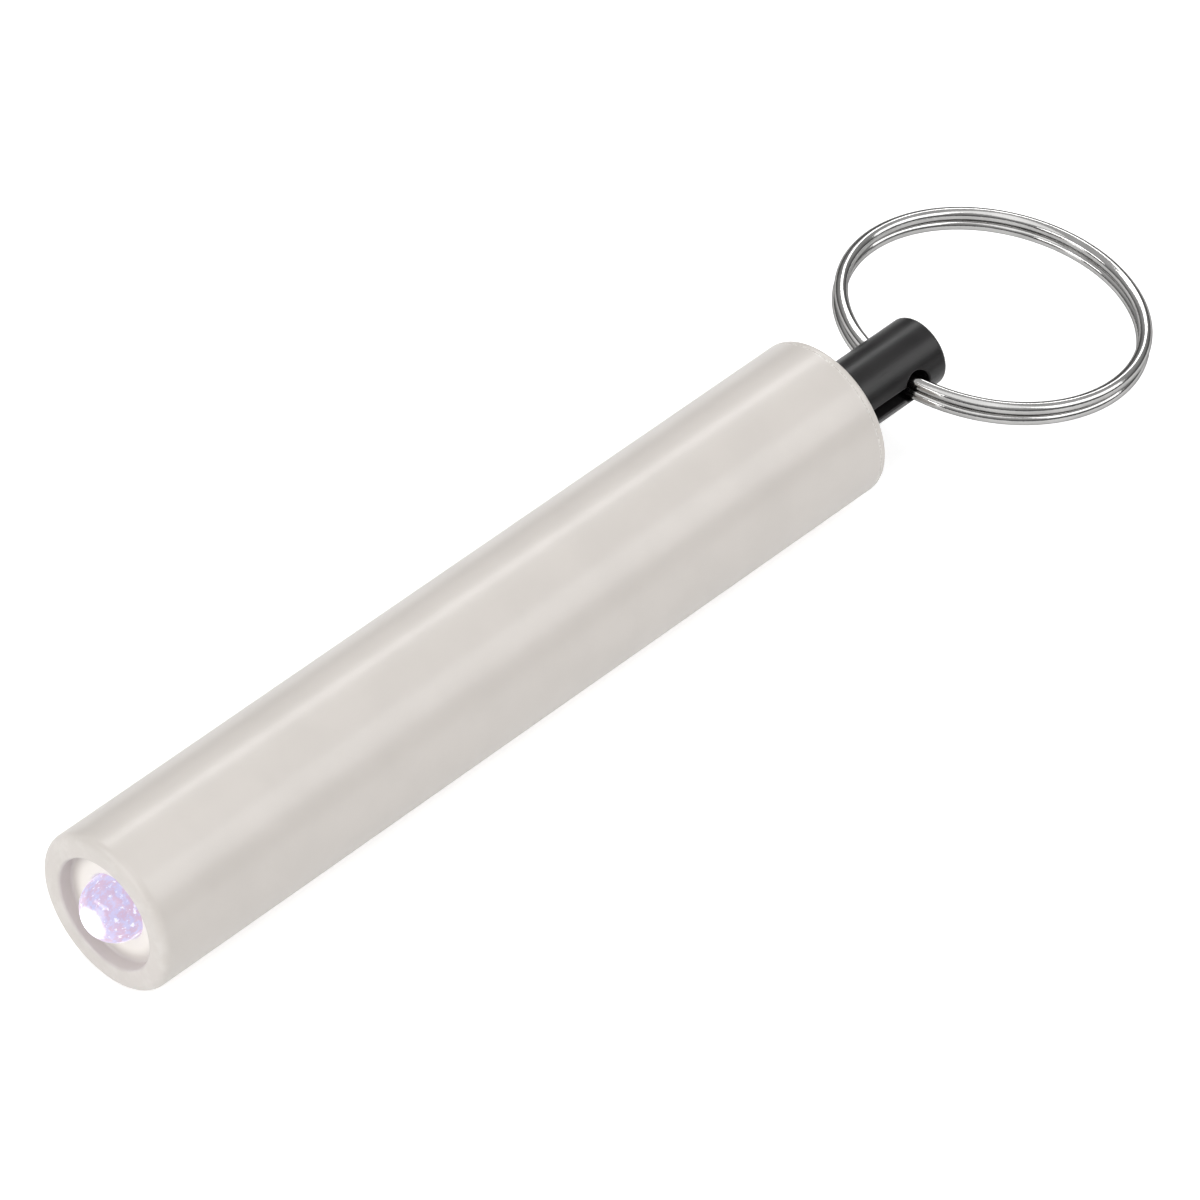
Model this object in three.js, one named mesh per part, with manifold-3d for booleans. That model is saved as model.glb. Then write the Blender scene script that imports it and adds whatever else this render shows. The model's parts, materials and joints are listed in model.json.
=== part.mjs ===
// Keychain flashlight: a slim moulded tube with one AAA cell, a 5 mm white LED in a rounded nose,
// and a push switch whose black plunger carries a double-turn split ring.
//
// Millimetres, +Z up. The light lies on its side: its axis runs along +X from the LED to the ring.
// The origin is under the middle of the whole object, on the surface that it lies on.

import * as THREE from "three";
import Module from "manifold-3d";
import { mergeVertices } from "three/addons/utils/BufferGeometryUtils.js";

const wasm = await Module();
wasm.setup();

// ---- driving dimensions ---------------------------------------------------------------------

// Running and assembly clearances.
const seatGap = 0.05; // between faces that rest on each other
const slipGap = 0.1; // radial, between a piece and the bore that it slides or presses into
const switchGap = 0.3; // round the pieces that move in the switch
const overcut = 1; // how far a cutting shape runs past the piece that it cuts

// AAA cell, which sets the size of the tube round it.
const cellDiameter = 10.3;
const cellLength = 44.3;
const cellClearance = 0.3; // radial, cell to tube
const labelThickness = 0.08;
const labelGap = 0.02;
const nubRadius = 1.9;
const nubHeight = 1;
const nubEdge = 0.2; // chamfer
const canShoulder = 0.5; // chamfer
const canRimWall = 0.35;
const sealWidth = 0.75;
const endCapRise = 0.55;
const endCapRim = 0.4; // flat rim round the rise
const endCapDraft = 0.3; // the rise's sides lean in by this
const endCapEdge = 0.2; // chamfer
const cellRecessDepth = 0.5;

// Barrel.
const barrelWall = 0.9;
const noseRound = 0.7; // outer rounding of the nose
const lipRound = 0.25; // inner rounding of the nose, into the recess
const lipLand = 0.95; // flat ring left between the two roundings
const recessDepth = 1.2;
const frontWall = 1.4;
const rearEdgeRound = 0.12;
const stripChannelDepth = 0.45;

// LED, the usual 5 mm lamp.
const lensDiameter = 5;
const lensLength = 7.6; // tip to flange
const lensFlangeStep = 0.4; // radial, the flange outside the lens
const lensFlangeThickness = 1;
const lensTipAhead = 1.4; // in front of the plane of the nose
const legPitch = 2.54;
const legWidth = 0.5;
const legSeatInBoard = 0.5;
const frameHeadDepth = 2.4; // how far the lead frames' heads reach down from their tops
const frameTopFromTip = 4.3;
const cathodeHeadReach = 0.45; // past the axis, where the chip sits
const anodeHeadStart = 0.75;
const headOverhang = 0.3; // of each head outside its leg
const anodeTopDrop = 0.4;
const chipSize = 0.4; // the phosphor-covered chip, on the cathode's head
const chipHeight = 0.15;
const moulding = 0.05; // gap between the lens and the lead frames set into it

// LED holder and driver board.
const componentSpace = 5.1; // LED base to board
const holderSkirtWall = 0.9;
const boardThickness = 0.8;
const coilDiameter = 2.9;
const coilHeight = 2.4;
const coilFlange = 0.4;
const coilWaist = 0.75; // radius
const coilOffset = 2.75; // from the axis
const driverChipSize = [1.1, 1.3, 2.9];
const driverChipOffset = -2.6;
const capacitorSize = [0.8, 1.6, 0.8];
const capacitorOffset = 3.2;
const contactButtonRadius = 1.5;
const contactButtonPlate = 0.3;
const contactNoseRadius = 0.8;
const contactButtonHeight = 0.75;
const contactNoseEdge = 0.25; // chamfer
const insulatorHoleRadius = 2.4;
const strapThickness = 0.25; // of every strip-metal contact
const stripWidth = 2.2;
const stripTabReach = 1.4; // inward, at the board

// Switch.
const travel = 2; // of the plunger
const batterySpringLength = 3;
const batterySpringWire = 0.45;
const batterySpringTurns = 3;
const batterySpringTopRadius = 2.2;
const springPlateThickness = 0.3;
const springPlateMargin = 0.5; // radial, outside the spring
const carrierFloor = 0.8;
const springShoulderWidth = 0.85;
const springShoulderHeight = 0.65; // above the pocket's floor
const carrierHoleRadius = 1.6; // lets the plunger's staked head through
const rivetOffset = -2.3; // from the axis
const rivetHeadRadius = 0.8;
const rivetShankRadius = 0.45;
const discThickness = 0.3;
const discHoleRadius = 1.05;
const stakeRadius = 1.35; // the staked head that holds the disc
const stakeHeight = 0.35;
const stakeEdge = 0.15; // chamfer
const returnSpringWire = 0.35;
const returnSpringTurns = 4;

// Plunger.
const plungerDiameter = 5.6;
const plungerProtrusion = 10.3; // out of the cap's face
const ringHoleFromFace = 7.1;
const plungerEndRound = 0.35;
const shoulderStep = 1.4; // radial, the shoulder that keeps the plunger in
const shoulderThickness = 1.2;
const bossRadius = 1.6;
const bossLength = 2.65; // shoulder to contact disc
const ringHoleClearance = 0.35;
const slotWidth = 1.2;
const slotInsideFace = 1.5; // how far the slot carries on inside the cap

// Rear cap.
const capGuideLength = 3.5;
const capFlangeThickness = 0.6;
const capEdgeRound = 0.4;
const capMouthChamfer = 0.2;
const capSkirtChamfer = 0.3;

// Split ring.
const ringDiameter = 24;
const ringWireWidth = 1.05; // across the ring: the wire is a little flattened
const ringWireThickness = 0.93;
const ringTurnGap = 0.03; // between the two turns
const ringStepArc = THREE.MathUtils.degToRad(20); // where the wire steps from one turn to the next
const ringStepAngle = Math.PI; // the step lies in the plunger's hole, so neither end can catch
const ringDroop = THREE.MathUtils.degToRad(8); // of the ring below the light's axis
const ringTip = THREE.MathUtils.degToRad(4.5); // to one side, as far as the hole lets it

// Facets.
const bigSegments = 40;
const smallSegments = 20;
const drillSegments = 8;
const rivetSegments = 12;
const arcSteps = 4;
const domeSteps = 6;
const wireSides = 8;
const springSides = 6;
const springStepsPerTurn = 12;
const ringStepsPerTurn = 30;

// ---- sizes and places that follow -----------------------------------------------------------

const cellRadius = cellDiameter / 2;
const lensRadius = lensDiameter / 2;
const lensFlangeRadius = lensRadius + lensFlangeStep;
const boreRadius = cellRadius + cellClearance;
const bodyRadius = boreRadius + barrelWall;
const recessRadius = bodyRadius - noseRound - lipLand - lipRound;
const insertRadius = boreRadius - slipGap; // outside of whatever is pushed into the bore

// Stations along the axis, from the plane of the nose backwards.
const recessFloorX = recessDepth;
const frontWallX = recessFloorX + frontWall;
const lensTipX = -lensTipAhead;
const lensFlangeX = lensTipX + lensLength;
const lensBaseX = lensFlangeX + lensFlangeThickness;
const boardFrontX = lensBaseX + componentSpace + seatGap;
const boardRearX = boardFrontX + boardThickness;
const cellFrontX = boardRearX + seatGap + contactButtonHeight + seatGap;
const canFrontX = cellFrontX + nubHeight;
const cellRearX = cellFrontX + cellLength;
const springPlateX = cellRearX + seatGap + batterySpringLength + seatGap;
const carrierFrontX = springPlateX + springPlateThickness + seatGap;
const pocketFloorX = carrierFrontX + carrierFloor;
const contactTopX = pocketFloorX + seatGap + strapThickness;
const discFrontX = contactTopX + seatGap + travel;
const discRearX = discFrontX + discThickness;
const springShoulderX = pocketFloorX + springShoulderHeight;
const shoulderFrontX = discRearX + seatGap + bossLength;
const shoulderRearX = shoulderFrontX + shoulderThickness;
const capInnerX = shoulderRearX + slipGap;
const capFaceX = capInnerX + capGuideLength;
const barrelRearX = capFaceX - capFlangeThickness - seatGap;
const carrierRearX = shoulderFrontX - travel - switchGap;
const capSkirtX = carrierRearX + switchGap;
const plungerEndX = capFaceX + plungerProtrusion;
const ringHoleX = capFaceX + ringHoleFromFace;

// Radii of the switch, from the plunger outwards.
const plungerRadius = plungerDiameter / 2;
const guideRadius = plungerRadius + slipGap;
const shoulderRadius = plungerRadius + shoulderStep;
const capSkirtRadius = shoulderRadius + switchGap;
const returnSpringRadius = shoulderRadius - switchGap - returnSpringWire / 2;
const pocketRadius = returnSpringRadius + returnSpringWire / 2 + switchGap;
const discRadius = returnSpringRadius - returnSpringWire / 2 - switchGap;

// Return strip and its channel, along the top of the bore.
const stripBottom = boreRadius + seatGap;
const stripTop = stripBottom + strapThickness;
const channelTop = boreRadius + stripChannelDepth;

// Split ring.
const ringTurnPitch = ringWireThickness + ringTurnGap;
const ringHoleRadius = (ringTurnPitch + ringWireThickness) / 2 + ringHoleClearance;
const ringMeanRadius = (ringDiameter - ringWireWidth) / 2;
// The wire bows as it crosses the plunger, so the ring's centre is set half of that bow nearer.
const ringBow = ringMeanRadius - Math.sqrt(ringMeanRadius ** 2 - plungerRadius ** 2);
const ringCentre = ringMeanRadius - ringBow / 2;

// ---- materials ------------------------------------------------------------------------------

const finish = (color, roughness, metalness) =>
  new THREE.MeshStandardMaterial({ color, roughness, metalness });

const paleShell = finish(0xd6d1cb, 0.38, 0);
const blackPlastic = finish(0x141416, 0.3, 0);
const nickel = finish(0xc9c9c6, 0.16, 1);
const clearEpoxy = finish(0xeef0ff, 0.08, 0);
const phosphor = finish(0xf2e36b, 0.5, 0);
const whitePlastic = finish(0xe8e6e0, 0.5, 0);
const tinnedSteel = finish(0xb9b9b4, 0.3, 1);
const brass = finish(0xc8a04a, 0.28, 1);
const springSteel = finish(0xa9abad, 0.25, 1);
const boardGreen = finish(0x1d5a34, 0.45, 0);
const ferrite = finish(0x2c2c2e, 0.7, 0);
const copperWire = finish(0xb4602a, 0.3, 1);
const ceramic = finish(0xb79a6a, 0.5, 0);
const fibre = finish(0x9c4a32, 0.8, 0);
const labelFilm = finish(0x39506b, 0.35, 0);
const nylon = finish(0xdedad0, 0.55, 0);

// ---- helpers --------------------------------------------------------------------------------

const assembly = new THREE.Group();

function addPart(name, geometry, material, parent = assembly) {
  const mesh = new THREE.Mesh(geometry, material);
  mesh.name = name;
  parent.add(mesh);
  return mesh;
}

// Points of an arc from one angle to another, as [along the axis, radius].
function arc(centreX, centreR, radius, fromDeg, toDeg, steps = arcSteps) {
  const points = [];
  for (let i = 0; i <= steps; i++) {
    const angle = THREE.MathUtils.degToRad(fromDeg + ((toDeg - fromDeg) * i) / steps);
    points.push([centreX + radius * Math.cos(angle), centreR + radius * Math.sin(angle)]);
  }
  return points;
}

const onAxisRadius = 1e-9; // a point nearer the axis than this is on it

// A closed outline of [along the axis, radius] points, turned about the X axis, with a flat facet
// underneath. Its points may run either way round.
function turned(outline, segments) {
  const next = (i) => outline[(i + 1) % outline.length];
  const area = outline.reduce((sum, [x, r], i) => sum + x * next(i)[1] - next(i)[0] * r, 0);
  const points = outline.map(([x, r]) => new THREE.Vector2(r < onAxisRadius ? 0 : r, x));
  if (area > 0) points.reverse();
  // A solid outline is opened on the axis, and a ring closes on itself.
  const onAxis = points.map((p) => p.x === 0);
  const start = points.findIndex((p, i) => onAxis[i] && !onAxis[(i + 1) % points.length]);
  const ordered =
    start < 0 ? [...points, points[0]] : [...points.slice(start), ...points.slice(0, start)];
  const geometry = new THREE.LatheGeometry(ordered, segments, Math.PI / segments);
  return geometry.rotateZ(-Math.PI / 2);
}

// A plain disc or tube between two stations.
function tube(fromX, toX, outer, inner = 0, segments = smallSegments) {
  return turned([[fromX, inner], [toX, inner], [toX, outer], [fromX, outer]], segments);
}

// A box from its lowest to its highest corner.
function block([x0, y0, z0], [x1, y1, z1]) {
  return new THREE.BoxGeometry(x1 - x0, y1 - y0, z1 - z0).translate(
    (x0 + x1) / 2,
    (y0 + y1) / 2,
    (z0 + z1) / 2,
  );
}

// A box of the given size round a centre.
function blockAt([x, y, z], [sx, sy, sz]) {
  return new THREE.BoxGeometry(sx, sy, sz).translate(x, y, z);
}

function toSolid(geometry) {
  const bare = new THREE.BufferGeometry();
  const plain = geometry.index ? geometry.toNonIndexed() : geometry;
  bare.setAttribute("position", plain.getAttribute("position"));
  const merged = mergeVertices(bare, 1e-5);
  return new wasm.Manifold(
    new wasm.Mesh({
      numProp: 3,
      vertProperties: new Float32Array(merged.attributes.position.array),
      triVerts: new Uint32Array(merged.index.array),
    }),
  );
}

function toGeometry(solid) {
  const mesh = solid.getMesh();
  const positions = new Float32Array(mesh.numVert * 3);
  for (let i = 0; i < mesh.numVert; i++) {
    const from = i * mesh.numProp;
    positions.set(mesh.vertProperties.subarray(from, from + 3), i * 3);
  }
  return new THREE.BufferGeometry()
    .setAttribute("position", new THREE.BufferAttribute(positions, 3))
    .setIndex(new THREE.BufferAttribute(new Uint32Array(mesh.triVerts), 1));
}

function cut(geometry, ...tools) {
  return toGeometry(tools.reduce((solid, tool) => solid.subtract(toSolid(tool)), toSolid(geometry)));
}

function join(geometry, ...others) {
  return toGeometry(others.reduce((solid, other) => solid.add(toSolid(other)), toSolid(geometry)));
}

// Oval or round wire swept along a curve, with closed ends. On a curve round the Z axis its thickness
// is along Z and its width across the curve.
function wireAlong(curve, thickness, width, sides, steps) {
  const section = new THREE.Shape(
    Array.from({ length: sides }, (_, i) => {
      const angle = (2 * Math.PI * i) / sides;
      return new THREE.Vector2((thickness / 2) * Math.cos(angle), (width / 2) * Math.sin(angle));
    }),
  );
  return new THREE.ExtrudeGeometry(section, { steps, extrudePath: curve, bevelEnabled: false });
}

// A coil spring round the X axis, whose radius may change from one end to the other. Its end turns
// lie flat.
class Coil extends THREE.Curve {
  constructor(fromX, toX, fromRadius, toRadius, turns) {
    super();
    Object.assign(this, { fromX, toX, fromRadius, toRadius, turns });
  }
  getPoint(t, target = new THREE.Vector3()) {
    const flat = 0.5 / this.turns;
    const rise = THREE.MathUtils.clamp((t - flat) / (1 - 2 * flat), 0, 1);
    const radius = THREE.MathUtils.lerp(this.fromRadius, this.toRadius, t);
    const angle = 2 * Math.PI * this.turns * t;
    return target.set(
      THREE.MathUtils.lerp(this.fromX, this.toX, rise),
      radius * Math.cos(angle),
      radius * Math.sin(angle),
    );
  }
}

// The split ring's wire: one turn, a step up to the second turn, and the second turn.
class SplitRingPath extends THREE.Curve {
  getPoint(t, target = new THREE.Vector3()) {
    const sweep = 4 * Math.PI - ringStepArc;
    const angle = sweep * t;
    const stepped = (angle - (2 * Math.PI - ringStepArc)) / ringStepArc;
    const level = THREE.MathUtils.smoothstep(stepped, 0, 1) - 0.5;
    const around = ringStepAngle + ringStepArc / 2 + angle;
    return target.set(
      ringMeanRadius * Math.cos(around),
      ringMeanRadius * Math.sin(around),
      ringTurnPitch * level,
    );
  }
}

function coilSpring(fromX, toX, fromRadius, toRadius, turns, wire) {
  const coil = new Coil(fromX + wire / 2, toX - wire / 2, fromRadius, toRadius, turns);
  return wireAlong(coil, wire, wire, springSides, turns * springStepsPerTurn);
}

// ---- barrel ---------------------------------------------------------------------------------

function makeBarrel() {
  const shell = turned(
    [
      ...arc(noseRound, bodyRadius - noseRound, noseRound, 90, 180),
      ...arc(lipRound, recessRadius + lipRound, lipRound, 180, 270),
      [recessFloorX, recessRadius],
      [recessFloorX, lensRadius + slipGap],
      [frontWallX, lensRadius + slipGap],
      [frontWallX, boreRadius],
      [barrelRearX, boreRadius],
      ...arc(barrelRearX - rearEdgeRound, bodyRadius - rearEdgeRound, rearEdgeRound, 0, 90, 1),
    ],
    bigSegments,
  );
  const channelHalf = stripWidth / 2 + slipGap;
  const channel = block(
    [boardRearX, -channelHalf, boreRadius / 2],
    [barrelRearX + overcut, channelHalf, channelTop],
  );
  return cut(shell, channel);
}

// ---- LED, holder and driver -----------------------------------------------------------------

// A lead frame is a flat head in the lens on a leg that runs down to the board. grow enlarges it
// all round, for the pocket that it sits in.
function leadFrame(legZ, headFrom, headTo, topX, grow = 0) {
  const half = legWidth / 2 + grow;
  const head = block(
    [topX - grow, -half, headFrom - grow],
    [topX + frameHeadDepth + grow, half, headTo + grow],
  );
  const leg = block(
    [topX + frameHeadDepth / 2, -half, legZ - half],
    [boardFrontX + legSeatInBoard + grow, half, legZ + half],
  );
  return join(head, leg);
}

const legZ = legPitch / 2;
const frameTopX = lensTipX + frameTopFromTip;
const cathodeFrame = (grow) => leadFrame(-legZ, -legZ - headOverhang, cathodeHeadReach, frameTopX, grow);
const anodeTopX = frameTopX + anodeTopDrop;
const anodeFrame = (grow) => leadFrame(legZ, anodeHeadStart, legZ + headOverhang, anodeTopX, grow);

function makeLens() {
  const lens = turned(
    [
      [lensBaseX, 0],
      ...arc(lensTipX + lensRadius, 0, lensRadius, 180, 90, domeSteps),
      [lensFlangeX, lensRadius],
      [lensFlangeX, lensFlangeRadius],
      [lensBaseX, lensFlangeRadius],
    ],
    smallSegments,
  );
  const chipPocket = blockAt(
    [frameTopX - chipHeight / 2, 0, 0],
    [chipHeight + 4 * moulding, chipSize + 2 * moulding, chipSize + 2 * moulding],
  );
  return cut(lens, cathodeFrame(moulding), anodeFrame(moulding), chipPocket);
}

function makeLedHolder() {
  const grip = lensRadius + slipGap;
  const seat = lensFlangeRadius + slipGap;
  const skirt = insertRadius - holderSkirtWall;
  const skirtX = lensBaseX + seatGap;
  return turned(
    [
      [frontWallX + seatGap, grip],
      [lensFlangeX - seatGap, grip],
      [lensFlangeX - seatGap, seat],
      [skirtX, seat],
      [skirtX, skirt],
      [boardFrontX - seatGap, skirt],
      [boardFrontX - seatGap, insertRadius],
      [frontWallX + seatGap, insertRadius],
    ],
    bigSegments,
  );
}

function makeDriverBoard() {
  const drill = (z) =>
    tube(boardFrontX - overcut, boardRearX + overcut, legWidth, 0, drillSegments).translate(0, 0, z);
  return cut(tube(boardFrontX, boardRearX, insertRadius, 0, bigSegments), drill(legZ), drill(-legZ));
}

function makeCoilCore() {
  const top = boardFrontX - seatGap - coilHeight;
  const base = boardFrontX - seatGap;
  const rim = coilDiameter / 2;
  return turned(
    [
      [top, 0],
      [top, rim],
      [top + coilFlange, rim],
      [top + coilFlange, coilWaist],
      [base - coilFlange, coilWaist],
      [base - coilFlange, rim],
      [base, rim],
      [base, 0],
    ],
    smallSegments,
  ).translate(0, coilOffset, 0);
}

function makeCoilWinding() {
  const top = boardFrontX - seatGap - coilHeight + coilFlange + seatGap;
  const base = boardFrontX - seatGap - coilFlange - seatGap;
  const outer = coilDiameter / 2 - slipGap;
  return tube(top, base, outer, coilWaist + seatGap).translate(0, coilOffset, 0);
}

function makePositiveContact() {
  const base = boardRearX + seatGap;
  const nose = base + contactButtonHeight;
  return turned(
    [
      [base, 0],
      [base, contactButtonRadius],
      [base + contactButtonPlate, contactButtonRadius],
      [nose - contactNoseEdge, contactNoseRadius],
      [nose, contactNoseRadius - contactNoseEdge],
      [nose, 0],
    ],
    smallSegments,
  );
}

function makeReturnStrip() {
  const half = stripWidth / 2;
  const frontX = boardRearX + seatGap;
  const rearX = contactTopX;
  const run = block([frontX, -half, stripBottom], [rearX, half, stripTop]);
  const frontTab = block(
    [frontX, -half, stripBottom - stripTabReach],
    [frontX + strapThickness, half, stripTop],
  );
  // The rear tab reaches inward under the disc, to the same radius as the rivet on the other side.
  const rearTab = block(
    [rearX - strapThickness, -half, -rivetOffset - rivetHeadRadius / 2],
    [rearX, half, stripTop],
  );
  return join(run, frontTab, rearTab);
}

// ---- cell -----------------------------------------------------------------------------------

const canRadius = cellRadius - labelThickness - labelGap;
const canRearX = cellRearX - endCapRise;
const canFloorX = canRearX - cellRecessDepth;

function makeBatteryCan() {
  return turned(
    [
      [cellFrontX, 0],
      [cellFrontX, nubRadius - nubEdge],
      [cellFrontX + nubEdge, nubRadius],
      [canFrontX, nubRadius],
      [canFrontX, canRadius - canShoulder],
      [canFrontX + canShoulder, canRadius],
      [canRearX, canRadius],
      [canRearX, canRadius - canRimWall],
      [canFloorX, canRadius - canRimWall],
      [canFloorX, 0],
    ],
    bigSegments,
  );
}

function makeBatterySeal() {
  const outer = canRadius - canRimWall - seatGap;
  return tube(canFloorX + seatGap, canRearX, outer, outer - sealWidth, bigSegments);
}

function makeBatteryEndCap() {
  const outer = canRadius - canRimWall - seatGap - sealWidth - seatGap;
  return turned(
    [
      [canFloorX + seatGap, 0],
      [canFloorX + seatGap, outer],
      [canRearX, outer],
      [canRearX, outer - endCapRim],
      [cellRearX - endCapEdge, outer - endCapRim - endCapDraft],
      [cellRearX, outer - endCapRim - endCapDraft - endCapEdge],
      [cellRearX, 0],
    ],
    bigSegments,
  );
}

// ---- switch ---------------------------------------------------------------------------------

function makeSpringPlate() {
  const rearX = springPlateX + springPlateThickness;
  const plate = tube(springPlateX, rearX, pocketRadius + springPlateMargin, 0, bigSegments);
  const hole = tube(springPlateX - overcut, carrierFrontX, rivetShankRadius + seatGap, 0, drillSegments);
  return cut(plate, hole.translate(0, 0, rivetOffset));
}

function makeContactRivet() {
  const headX = springPlateX - seatGap;
  return turned(
    [
      [headX - strapThickness, 0],
      [headX - strapThickness, rivetHeadRadius],
      [headX, rivetHeadRadius],
      [headX, rivetShankRadius],
      [pocketFloorX + seatGap, rivetShankRadius],
      [pocketFloorX + seatGap, rivetHeadRadius],
      [contactTopX, rivetHeadRadius],
      [contactTopX, 0],
    ],
    rivetSegments,
  ).translate(0, 0, rivetOffset);
}

function makeSwitchCarrier() {
  const cup = turned(
    [
      [carrierFrontX, carrierHoleRadius],
      [carrierFrontX, insertRadius],
      [carrierRearX, insertRadius],
      [carrierRearX, pocketRadius],
      [springShoulderX, pocketRadius],
      [springShoulderX, pocketRadius - springShoulderWidth],
      [pocketFloorX, pocketRadius - springShoulderWidth],
      [pocketFloorX, carrierHoleRadius],
    ],
    bigSegments,
  );
  const slotHalf = stripWidth / 2 + slipGap;
  const stripSlot = block(
    [pocketFloorX, -slotHalf, pocketRadius - springShoulderWidth - overcut],
    [carrierRearX + overcut, slotHalf, insertRadius + overcut],
  );
  const holeRadius = rivetShankRadius + seatGap;
  const hole = tube(carrierFrontX - overcut, pocketFloorX + overcut, holeRadius, 0, drillSegments);
  return cut(cup, stripSlot, hole.translate(0, 0, rivetOffset));
}

function makePlunger() {
  const stakeX = discFrontX - seatGap - stakeHeight;
  const body = turned(
    [
      [stakeX, 0],
      [stakeX, stakeRadius - stakeEdge],
      [stakeX + stakeEdge, stakeRadius],
      [discFrontX - seatGap, stakeRadius],
      [discFrontX - seatGap, discHoleRadius - seatGap],
      [discRearX + seatGap, discHoleRadius - seatGap],
      [discRearX + seatGap, bossRadius],
      [shoulderFrontX, bossRadius],
      [shoulderFrontX, shoulderRadius],
      [shoulderRearX, shoulderRadius],
      [shoulderRearX, plungerRadius],
      ...arc(plungerEndX - plungerEndRound, plungerRadius - plungerEndRound, plungerEndRound, 90, 0),
      [plungerEndX, 0],
    ],
    bigSegments,
  );
  const across = plungerRadius + overcut;
  const hole = new THREE.CylinderGeometry(ringHoleRadius, ringHoleRadius, 2 * across, smallSegments);
  const slot = block(
    [capFaceX - slotInsideFace, -across, -slotWidth / 2],
    [ringHoleX, across, slotWidth / 2],
  );
  return cut(body, hole.translate(ringHoleX, 0, 0), slot);
}

function makeRearCap() {
  return turned(
    [
      [capSkirtX, capSkirtRadius],
      [capInnerX, capSkirtRadius],
      [capInnerX, guideRadius],
      [capFaceX - capMouthChamfer, guideRadius],
      [capFaceX, guideRadius + capMouthChamfer],
      ...arc(capFaceX - capEdgeRound, bodyRadius - capEdgeRound, capEdgeRound, 0, 90),
      [capFaceX - capFlangeThickness, bodyRadius],
      [capFaceX - capFlangeThickness, insertRadius],
      [capSkirtX + capSkirtChamfer, insertRadius],
      [capSkirtX, insertRadius - capSkirtChamfer],
    ],
    bigSegments,
  );
}

// ---- the assembly ---------------------------------------------------------------------------

addPart("barrel", makeBarrel(), paleShell);
addPart("rear_cap", makeRearCap(), paleShell);
addPart("plunger", makePlunger(), blackPlastic);

addPart("led_lens", makeLens(), clearEpoxy);
addPart("led_cathode_frame", cathodeFrame(0), tinnedSteel);
addPart("led_anode_frame", anodeFrame(0), tinnedSteel);
addPart(
  "led_chip",
  blockAt([frameTopX - moulding - chipHeight / 2, 0, 0], [chipHeight, chipSize, chipSize]),
  phosphor,
);
addPart("led_holder", makeLedHolder(), whitePlastic);

addPart("driver_board", makeDriverBoard(), boardGreen);
addPart(
  "driver_chip",
  blockAt([boardFrontX - seatGap - driverChipSize[0] / 2, driverChipOffset, 0], driverChipSize),
  ferrite,
);
addPart(
  "board_capacitor",
  blockAt([boardFrontX - seatGap - capacitorSize[0] / 2, 0, capacitorOffset], capacitorSize),
  ceramic,
);
addPart("boost_coil_core", makeCoilCore(), ferrite);
addPart("boost_coil_winding", makeCoilWinding(), copperWire);
addPart("positive_contact", makePositiveContact(), brass);
addPart(
  "insulator_ring",
  tube(
    boardRearX + seatGap + strapThickness + slipGap,
    canFrontX - seatGap,
    insertRadius - seatGap,
    insulatorHoleRadius,
    bigSegments,
  ),
  fibre,
);
addPart("return_strip", makeReturnStrip(), tinnedSteel);

addPart("battery_can", makeBatteryCan(), tinnedSteel);
addPart(
  "battery_label",
  tube(canFrontX + canShoulder, canRearX, cellRadius, cellRadius - labelThickness, bigSegments),
  labelFilm,
);
addPart("battery_seal", makeBatterySeal(), nylon);
addPart("battery_end_cap", makeBatteryEndCap(), tinnedSteel);

addPart(
  "battery_spring",
  coilSpring(
    cellRearX + seatGap,
    springPlateX - seatGap,
    batterySpringTopRadius,
    pocketRadius,
    batterySpringTurns,
    batterySpringWire,
  ),
  springSteel,
);
addPart("spring_plate", makeSpringPlate(), brass);
addPart("contact_rivet", makeContactRivet(), brass);
addPart("switch_carrier", makeSwitchCarrier(), whitePlastic);
addPart("contact_disc", tube(discFrontX, discRearX, discRadius, discHoleRadius), brass);
addPart(
  "return_spring",
  coilSpring(
    springShoulderX + seatGap,
    shoulderFrontX - seatGap,
    returnSpringRadius,
    returnSpringRadius,
    returnSpringTurns,
    returnSpringWire,
  ),
  springSteel,
);

// The ring hangs through the plunger's hole and swings about the hole's axis. It also tips a little
// in the hole, which is wider than the wire.
const ringHanger = new THREE.Group();
ringHanger.position.set(ringHoleX, 0, 0);
ringHanger.rotation.set(ringTip, ringDroop, 0, "YXZ");
assembly.add(ringHanger);

const splitRing = addPart(
  "split_ring",
  wireAlong(
    new SplitRingPath(),
    ringWireThickness,
    ringWireWidth,
    wireSides,
    2 * ringStepsPerTurn,
  ),
  nickel,
  ringHanger,
);
splitRing.position.x = ringCentre;

// The origin goes under the middle of the whole object.
assembly.updateMatrixWorld(true);
const extent = new THREE.Box3().setFromObject(assembly, true);
assembly.position.set(-(extent.min.x + extent.max.x) / 2, 0, -extent.min.z);

const flashlight = new THREE.Group();
flashlight.add(assembly);

export default flashlight;
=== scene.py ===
"""Looks of the keychain flashlight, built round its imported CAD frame.

Metres, +Z up. The light's axis runs along +X, from the LED to the split ring.
"""

import json
import math

import bmesh
import bpy
import numpy as np
from mathutils import Matrix, Vector


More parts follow.
